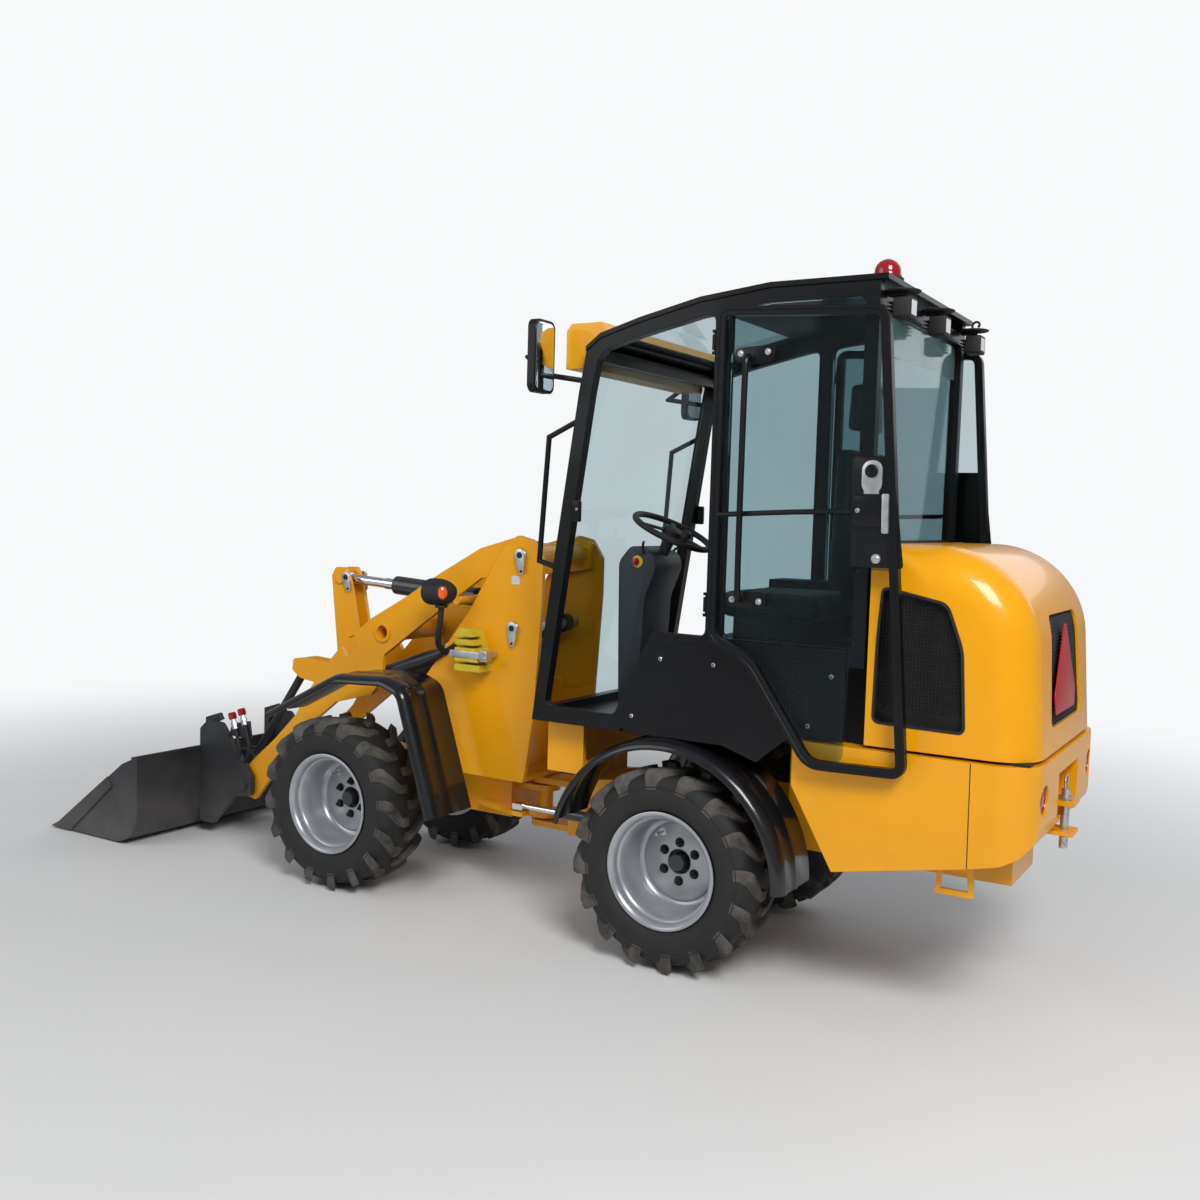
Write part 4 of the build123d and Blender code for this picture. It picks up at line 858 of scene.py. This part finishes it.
# Work lamps: three square black heads that hang from flat trays at the roof's rear edge, with a
# lens to the rear under a blank plate, and a lifting hook on the tray at the right.
tray_profile = solid((0, 0.038), (0.003, 0.056), (0.007, 0.058), (0.009, 0.054), (0.011, 0.02))
stud_profile = solid((0, 0.01), (0.014, 0.01))
hook_route = ((-0.43, 1.788, 2.352), (-0.43, 1.78, 2.372), (-0.43, 1.8, 2.386), (-0.43, 1.815, 2.374),
              (-0.43, 1.806, 2.362))
lamp_parts, lamp_plates = [], []
for x in (0.43, 0.04, -0.43):
    lamp_parts += [
        lathed(tray_profile, 36, (x, 1.788, 2.344)),
        plate(rectangle(x - 0.018, 1.745, x + 0.018, 1.8), "Z", 2.336, 2.342),
        plate(rectangle(x - 0.04, 2.262, x + 0.04, 2.33), "Y", 1.77, 1.826, 0.01, 0.004),
    ]
    for fin_z in (2.275, 2.287, 2.299, 2.311):
        lamp_parts.append(plate(rectangle(x - 0.041, fin_z, x + 0.041, fin_z + 0.003), "Y", 1.752, 1.771))
    lamp_parts.append(lathed(stud_profile, 16, (x, 1.795, 2.33)))
    lamp_plates.append(plate(rectangle(x - 0.024, 2.274, x + 0.024, 2.32), "Y", 1.8255, 1.8275, 0.003))
lamp_parts.append(tube(hook_route, 0.0045, False))
made(joined(lamp_parts), "roof_lamps", rubber, "chassis", 35, ["work_lamps"])
made(joined(lamp_plates), "lamp_plates", blank_white, "chassis")

# Keeper plates: plated teardrops that hold each pivot pin, with a dark bolt in the round end and
# one in the small end, screwed on the tower and on the bell crank. The tower's pins go with them.
keeper_thick, keeper_big, keeper_small, keeper_steps = 0.005, 0.026, 0.013, 8
bolt_profile = solid((0, 0.013), (0.002, 0.014), (0.005, 0.012), (0.005, 0.006), (0.003, 0.005))
set_screw_profile = solid((0, 0.006), (0.003, 0.0055))
tower_pin_places = ((0.205, 1.447), (0.175, 1.149))
tower_pin_profile = solid((-0.245, 0.022), (-0.242, 0.025), (0.242, 0.025), (0.245, 0.022))


def keeper(x, y, z, down, length):
    """A teardrop on the left face at x, its small end towards the angle down, and its two bolts."""
    heading = math.radians(down)
    ahead = Vector((0, math.cos(heading), math.sin(heading)))
    aside = Vector((0, -ahead.z, ahead.y))
    centre = Vector((x, y, z))
    small_end = centre + ahead * length
    outline = []
    for start, radius, first, last in ((centre, keeper_big, 75, 285), (small_end, keeper_small, -75, 75)):
        for step in range(keeper_steps + 1):
            angle = math.radians(first + (last - first) * step / keeper_steps)
            point = start + ahead * radius * math.cos(angle) + aside * radius * math.sin(angle)
            outline.append((point.y, point.z))
    blade = plate(outline, "X", x, x + keeper_thick, soften=0.001)
    outwards = Vector((keeper_thick, 0, 0))
    bolts = joined([lathed(bolt_profile, 6, centre + outwards, sideways),
                    lathed(set_screw_profile, 12, small_end + outwards, sideways)])
    return blade, bolts


tower_keepers = [keeper(0.2451, *tower_pin_places[0], -82, 0.066),
                 keeper(0.2451, *tower_pin_places[1], -88, 0.062)]
tower_blades = both_sides([blade for blade, bolts in tower_keepers])
tower_bolts = both_sides([bolts for blade, bolts in tower_keepers])
tower_bars = [lathed(tower_pin_profile, 32, (0, y, z), sideways) for y, z in tower_pin_places]
made(joined([tower_blades, *tower_bars]), "tower_keepers", zinc, "front_unit", 35, ["tower_pins"])
made(tower_bolts, "tower_keeper_bolts", hub_black, "front_unit")
crank_blade, crank_bolts = keeper(0.0565, -0.911, 1.296, -75, 0.055)
made(both_sides([crank_blade]), "crank_keepers", zinc, "bell_crank")
made(crank_bolts, "crank_keeper_bolts", hub_black, "bell_crank")

# Tilt cylinder's middle stage and the inner length of its rod: ground and chromed steel. The
# stage is screwed into the barrel's mouth and the rod slides through it, so that the rod stays
# guided when the bucket is tipped right forward.
tilt_eye, tilt_slope = (0, -0.15, 1.241), (86.588, 0, 0)
stage_profile = (
    # distance from the barrel's eye, radius
    (0.5003, 0.0228), (0.5003, 0.03), (0.508, 0.03), (0.5095, 0.0252), (0.5645, 0.0252), (0.566, 0.024),
    (0.566, 0.0228), (0.5003, 0.0228),
)
rod_tail_profile = solid((0.2625, 0.02), (0.2645, 0.0219), (0.2999, 0.0219))
made(lathed(stage_profile, 48, tilt_eye, tilt_slope), "tilt_stage", rod_chrome, "tilt_barrel")
made(lathed(rod_tail_profile, 48, tilt_eye, tilt_slope), "tilt_rod_tail", rod_chrome, "tilt_rod")

# Chock strap: a plated steel band over the wheel chock, with a buckle plate held by two screws
# and a leg at each end that stands on the tower.
strap = [
    plate(rectangle(-0.07, 1.02, 0.085, 1.048), "X", 0.3252, 0.328, soften=0.0008),
    plate(rectangle(0.072, 1.012, 0.112, 1.056), "X", 0.29, 0.33, 0.004, 0.001),
    plate(rectangle(-0.078, 1.02, -0.07, 1.048), "X", 0.2352, 0.328),
    plate(rectangle(0.085, 1.025, 0.099, 1.043), "X", 0.2352, 0.291),
    *[screw((0.33, 0.1, z), 0.005) for z in (1.024, 1.044)],
]
made(joined(strap), "chock_strap", zinc, "front_unit")

# Steering: a moulded dark binnacle on the column, and a padded wheel with three spokes and a
# turning knob.
binnacle_outline = ((0.6, 0.8603), (0.69, 0.8603), (0.712, 1.3), (0.76, 1.42), (0.742, 1.475),
                    (0.64, 1.505), (0.585, 1.44), (0.59, 1.2))
binnacle_half = 0.115
steering_radius, grip_radius, grip_corners = 0.159, 0.0125, 12
steering_place, steering_lean = (0, 0.765, 1.56), -24.5
spoke_outline = ((-0.013, 0.02), (-0.01, 0.152), (0.01, 0.152), (0.013, 0.02))
column_profile = (
    (-0.11, tip), (-0.11, 0.022), (-0.034, 0.024), (-0.03, 0.034), (-0.004, 0.046), (0.008, 0.044),
    (0.016, 0.03), (0.019, tip),
)
turning_knob_profile = (
    (0, tip), (0, 0.008), (0.014, 0.008), (0.018, 0.018), (0.028, 0.0215), (0.04, 0.019), (0.046, 0.01),
    (0.047, tip),
)
dash_grey = finish_of("dash_grey", (0.02, 0.026, 0.034), 0.5, (8, 0.15), (500, 0.2))
binnacle = plate(binnacle_outline, "X", -binnacle_half, binnacle_half, 0.022, 0.014)
made(binnacle, "binnacle", dash_grey, "chassis")
grip_angles = [2 * math.pi * step / grip_corners for step in range(grip_corners + 1)]
grip_profile = [(grip_radius * math.sin(angle), steering_radius + grip_radius * math.cos(angle))
                for angle in grip_angles]
grip = lathed(grip_profile, 56)
plate(spoke_outline, "Z", -0.004, 0.004, soften=0.0015)
spokes = repeated(3, (0, 0, 1))
turning_knob = lathed(turning_knob_profile, 24, (0.105, 0.108, 0.01))
joined([grip, spokes, lathed(column_profile, 32), turning_knob])
steering_wheel = set_in_place(steering_place, (steering_lean, 0, 0))
made(steering_wheel, "steering_wheel", rubber, "chassis", 35, ["steering_column"])

# Stop button and column levers: a red moulded button on a yellow collar at the binnacle's left,
# and a black lever on each side under the wheel.
stop_place = (0.1145, 0.675, 1.44)
stop_collar_profile = solid((0, 0.024), (0.004, 0.023), (0.005, 0.018))
stop_button_profile = ((0.004, tip), (0.004, 0.01), (0.012, 0.01), (0.014, 0.016), (0.022, 0.015),
                       (0.024, tip))
stop_yellow = finish_of("stop_yellow", (0.75, 0.5, 0.04), 0.4)
made(lathed(stop_collar_profile, 28, stop_place, sideways), "stop_collar", stop_yellow, "chassis")
made(lathed(stop_button_profile, 28, stop_place, sideways), "stop_button", lens_red, "chassis")
levers = [tube(((side * 0.11, 0.7, 1.47), (side * 0.15, 0.715, 1.5), (side * 0.185, 0.74, 1.52)), 0.005)
          for side in (1, -1)]
made(joined(levers), "column_levers", rubber, "chassis")

# Hitch wires: the pin's handle and the clip under it, both bent from plated spring wire and
# pushed through the pin.
handle_route = ((0.012, 2.285, 0.748), (0.03, 2.285, 0.775), (0.01, 2.285, 0.8), (-0.03, 2.285, 0.79),
                (-0.034, 2.285, 0.765), (-0.012, 2.285, 0.748))
clip_route = ((-0.026, 2.27, 0.566), (0.026, 2.298, 0.562), (0.05, 2.3, 0.58), (0.048, 2.29, 0.6),
              (0.02, 2.304, 0.604))
pin_wires = joined([tube(handle_route, 0.0035, False), tube(clip_route, 0.0025, False)])
made(pin_wires, "pin_wires", zinc, "chassis")

# Hydraulic couplers on a tab of the tool carrier: two plated couplers under red caps, with black
# rubber hoses that turn down behind the carrier, and a pair of hoses along the tower.
tab_outline = ((-1.5, 0.505), (-1.345, 0.505), (-1.36, 0.59), (-1.48, 0.565))
coupler_x, coupler_turn = 0.235, (20, 0, 0)
coupler_places = ((-1.452, 0.566), (-1.388, 0.592))
cap_profile = ((0, tip), (0, 0.017), (0.004, 0.019), (0.028, 0.019), (0.032, 0.016), (0.033, tip))
coupler_profile = solid(
    (0, 0.013), (0.018, 0.013), (0.018, 0.016), (0.034, 0.016), (0.034, 0.012), (0.05, 0.012),
)
carrier_hose = ((0.235, 0.01, -0.024), (0.236, 0.03, -0.08), (0.234, 0.04, -0.13), (0.228, 0.02, -0.18),
                (0.215, -0.02, -0.22))
tower_hose = ((0, -0.47, 0.868), (0.02, -0.4, 0.93), (0.03, -0.3, 0.955), (0.03, -0.2, 1.0),
              (0.005, -0.12, 1.06))
made(plate(tab_outline, "X", 0.216, 0.224, soften=0.001), "coupler_tab", bucket_grey, "tool_carrier")
caps, couplers, hoses = [], [], []
for y, z in coupler_places:
    caps.append(lathed(cap_profile, 24, (coupler_x, y - 0.008, z + 0.024), coupler_turn))
    couplers.append(lathed(coupler_profile, 6, (coupler_x, y + 0.008, z - 0.022), coupler_turn))
    hoses.append(tube([(x, y + back, z + rise) for x, back, rise in carrier_hose], 0.0085, False))
made(joined(caps), "coupler_caps", lens_red, "tool_carrier")
made(joined(couplers), "couplers", zinc, "tool_carrier")
made(joined(hoses), "carrier_hoses", rubber, "tool_carrier")
tower_hoses = [tube([(start + x, y, z) for x, y, z in tower_hose], 0.01, False) for start in (0.205, 0.228)]
made(joined(tower_hoses), "tower_hoses", rubber, "front_unit")

# Seat: padded cushions in dark grey cloth on a black base and back sheet. The cushions are blown
# up a little by a cloth simulation, so that their faces crown and their edges round over.
seat_pads = (
    # name, low corner, high corner, most that the filling moves a point, narrowing at the top
    ("seat_cushion", (-0.228, 1.075, 1.268), (0.228, 1.475, 1.345), 0.01, 1.0),
    ("seat_back", (-0.215, 1.495, 1.375), (0.215, 1.56, 1.88), 0.01, 0.82),
    ("seat_headrest", (-0.118, 1.508, 1.94), (0.118, 1.562, 2.095), 0.007, 0.8),
)
pad_cell, pad_pressure, pad_frames = 0.006, 4, 20
back_sheet = ((-0.215, 1.548), (-0.195, 1.575), (0.195, 1.575), (0.215, 1.548))
seat_grey = finish_of("seat_cloth_grey", (0.03, 0.032, 0.036), 0.9, (60, 0.25), (900, 0.6))
seat_grey.node_tree.nodes["Principled BSDF"].inputs["Sheen Weight"].default_value = 0.3


def filled(pad, cap):
    """Blows a pad up by pressure, no point moving further than cap."""
    modified("REMESH", mode="VOXEL", voxel_size=pad_cell)
    before = [corner.co.copy() for corner in pad.data.vertices]
    bpy.ops.object.modifier_add(type="CLOTH")
    filling = pad.modifiers[-1]
    filling.settings.use_pressure = True
    filling.settings.uniform_pressure_force = pad_pressure
    filling.settings.effector_weights.gravity = 0
    for frame_number in range(1, pad_frames + 1):
        bpy.context.scene.frame_set(frame_number)
    bpy.ops.object.modifier_apply(modifier=filling.name)
    bpy.context.scene.frame_set(1)
    for corner, start in zip(pad.data.vertices, before):
        moved = corner.co - start
        if moved.length > cap:
            corner.co = start + moved.normalized() * cap


for name, low, high, cap, taper in seat_pads:
    low, high = Vector(low), Vector(high)
    size = high - low
    box(size, (0, 0, 0))
    pick("FACE", lambda centre, normal: normal.z > 0.9)
    bpy.ops.transform.resize(value=(taper, 1, 1))
    bpy.ops.mesh.select_all(action="SELECT")
    bpy.ops.mesh.bevel(offset=min(size) * 0.3, segments=4)
    faced_out()
    pad = set_in_place((low + high) / 2)
    filled(pad, cap)
    modified("SUBSURF", levels=1, render_levels=1)
    made(pad, name, seat_grey, "chassis", 60)
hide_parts("seat")
seat_parts = [
    plate(rectangle(-0.18, 1.12, 0.18, 1.44), "Z", 1.1683, 1.262, 0.02, 0.006),
    plate(back_sheet, "Z", 1.34, 1.86, soften=0.004),
    *[tube(((x, 1.54, 1.86), (x, 1.54, 1.9), (x, 1.538, 1.95)), 0.007) for x in (-0.045, 0.045)],
]
made(joined(seat_parts), "seat_base", rubber, "chassis")

# Rear window film: a pale sun strip of plastic, stuck inside the rear glass along its top edge.
# It lets some light through.
film_pale = finish_of("film_pale", (0.5, 0.62, 0.58), 0.35, (4, 0.1), (200, 0.1))
film_pale.node_tree.nodes["Principled BSDF"].inputs["Transmission Weight"].default_value = 0.35
made(plate(rectangle(-0.452, 2.17, 0.452, 2.296), "Y", 1.713, 1.7145), "window_film", film_pale, "chassis")
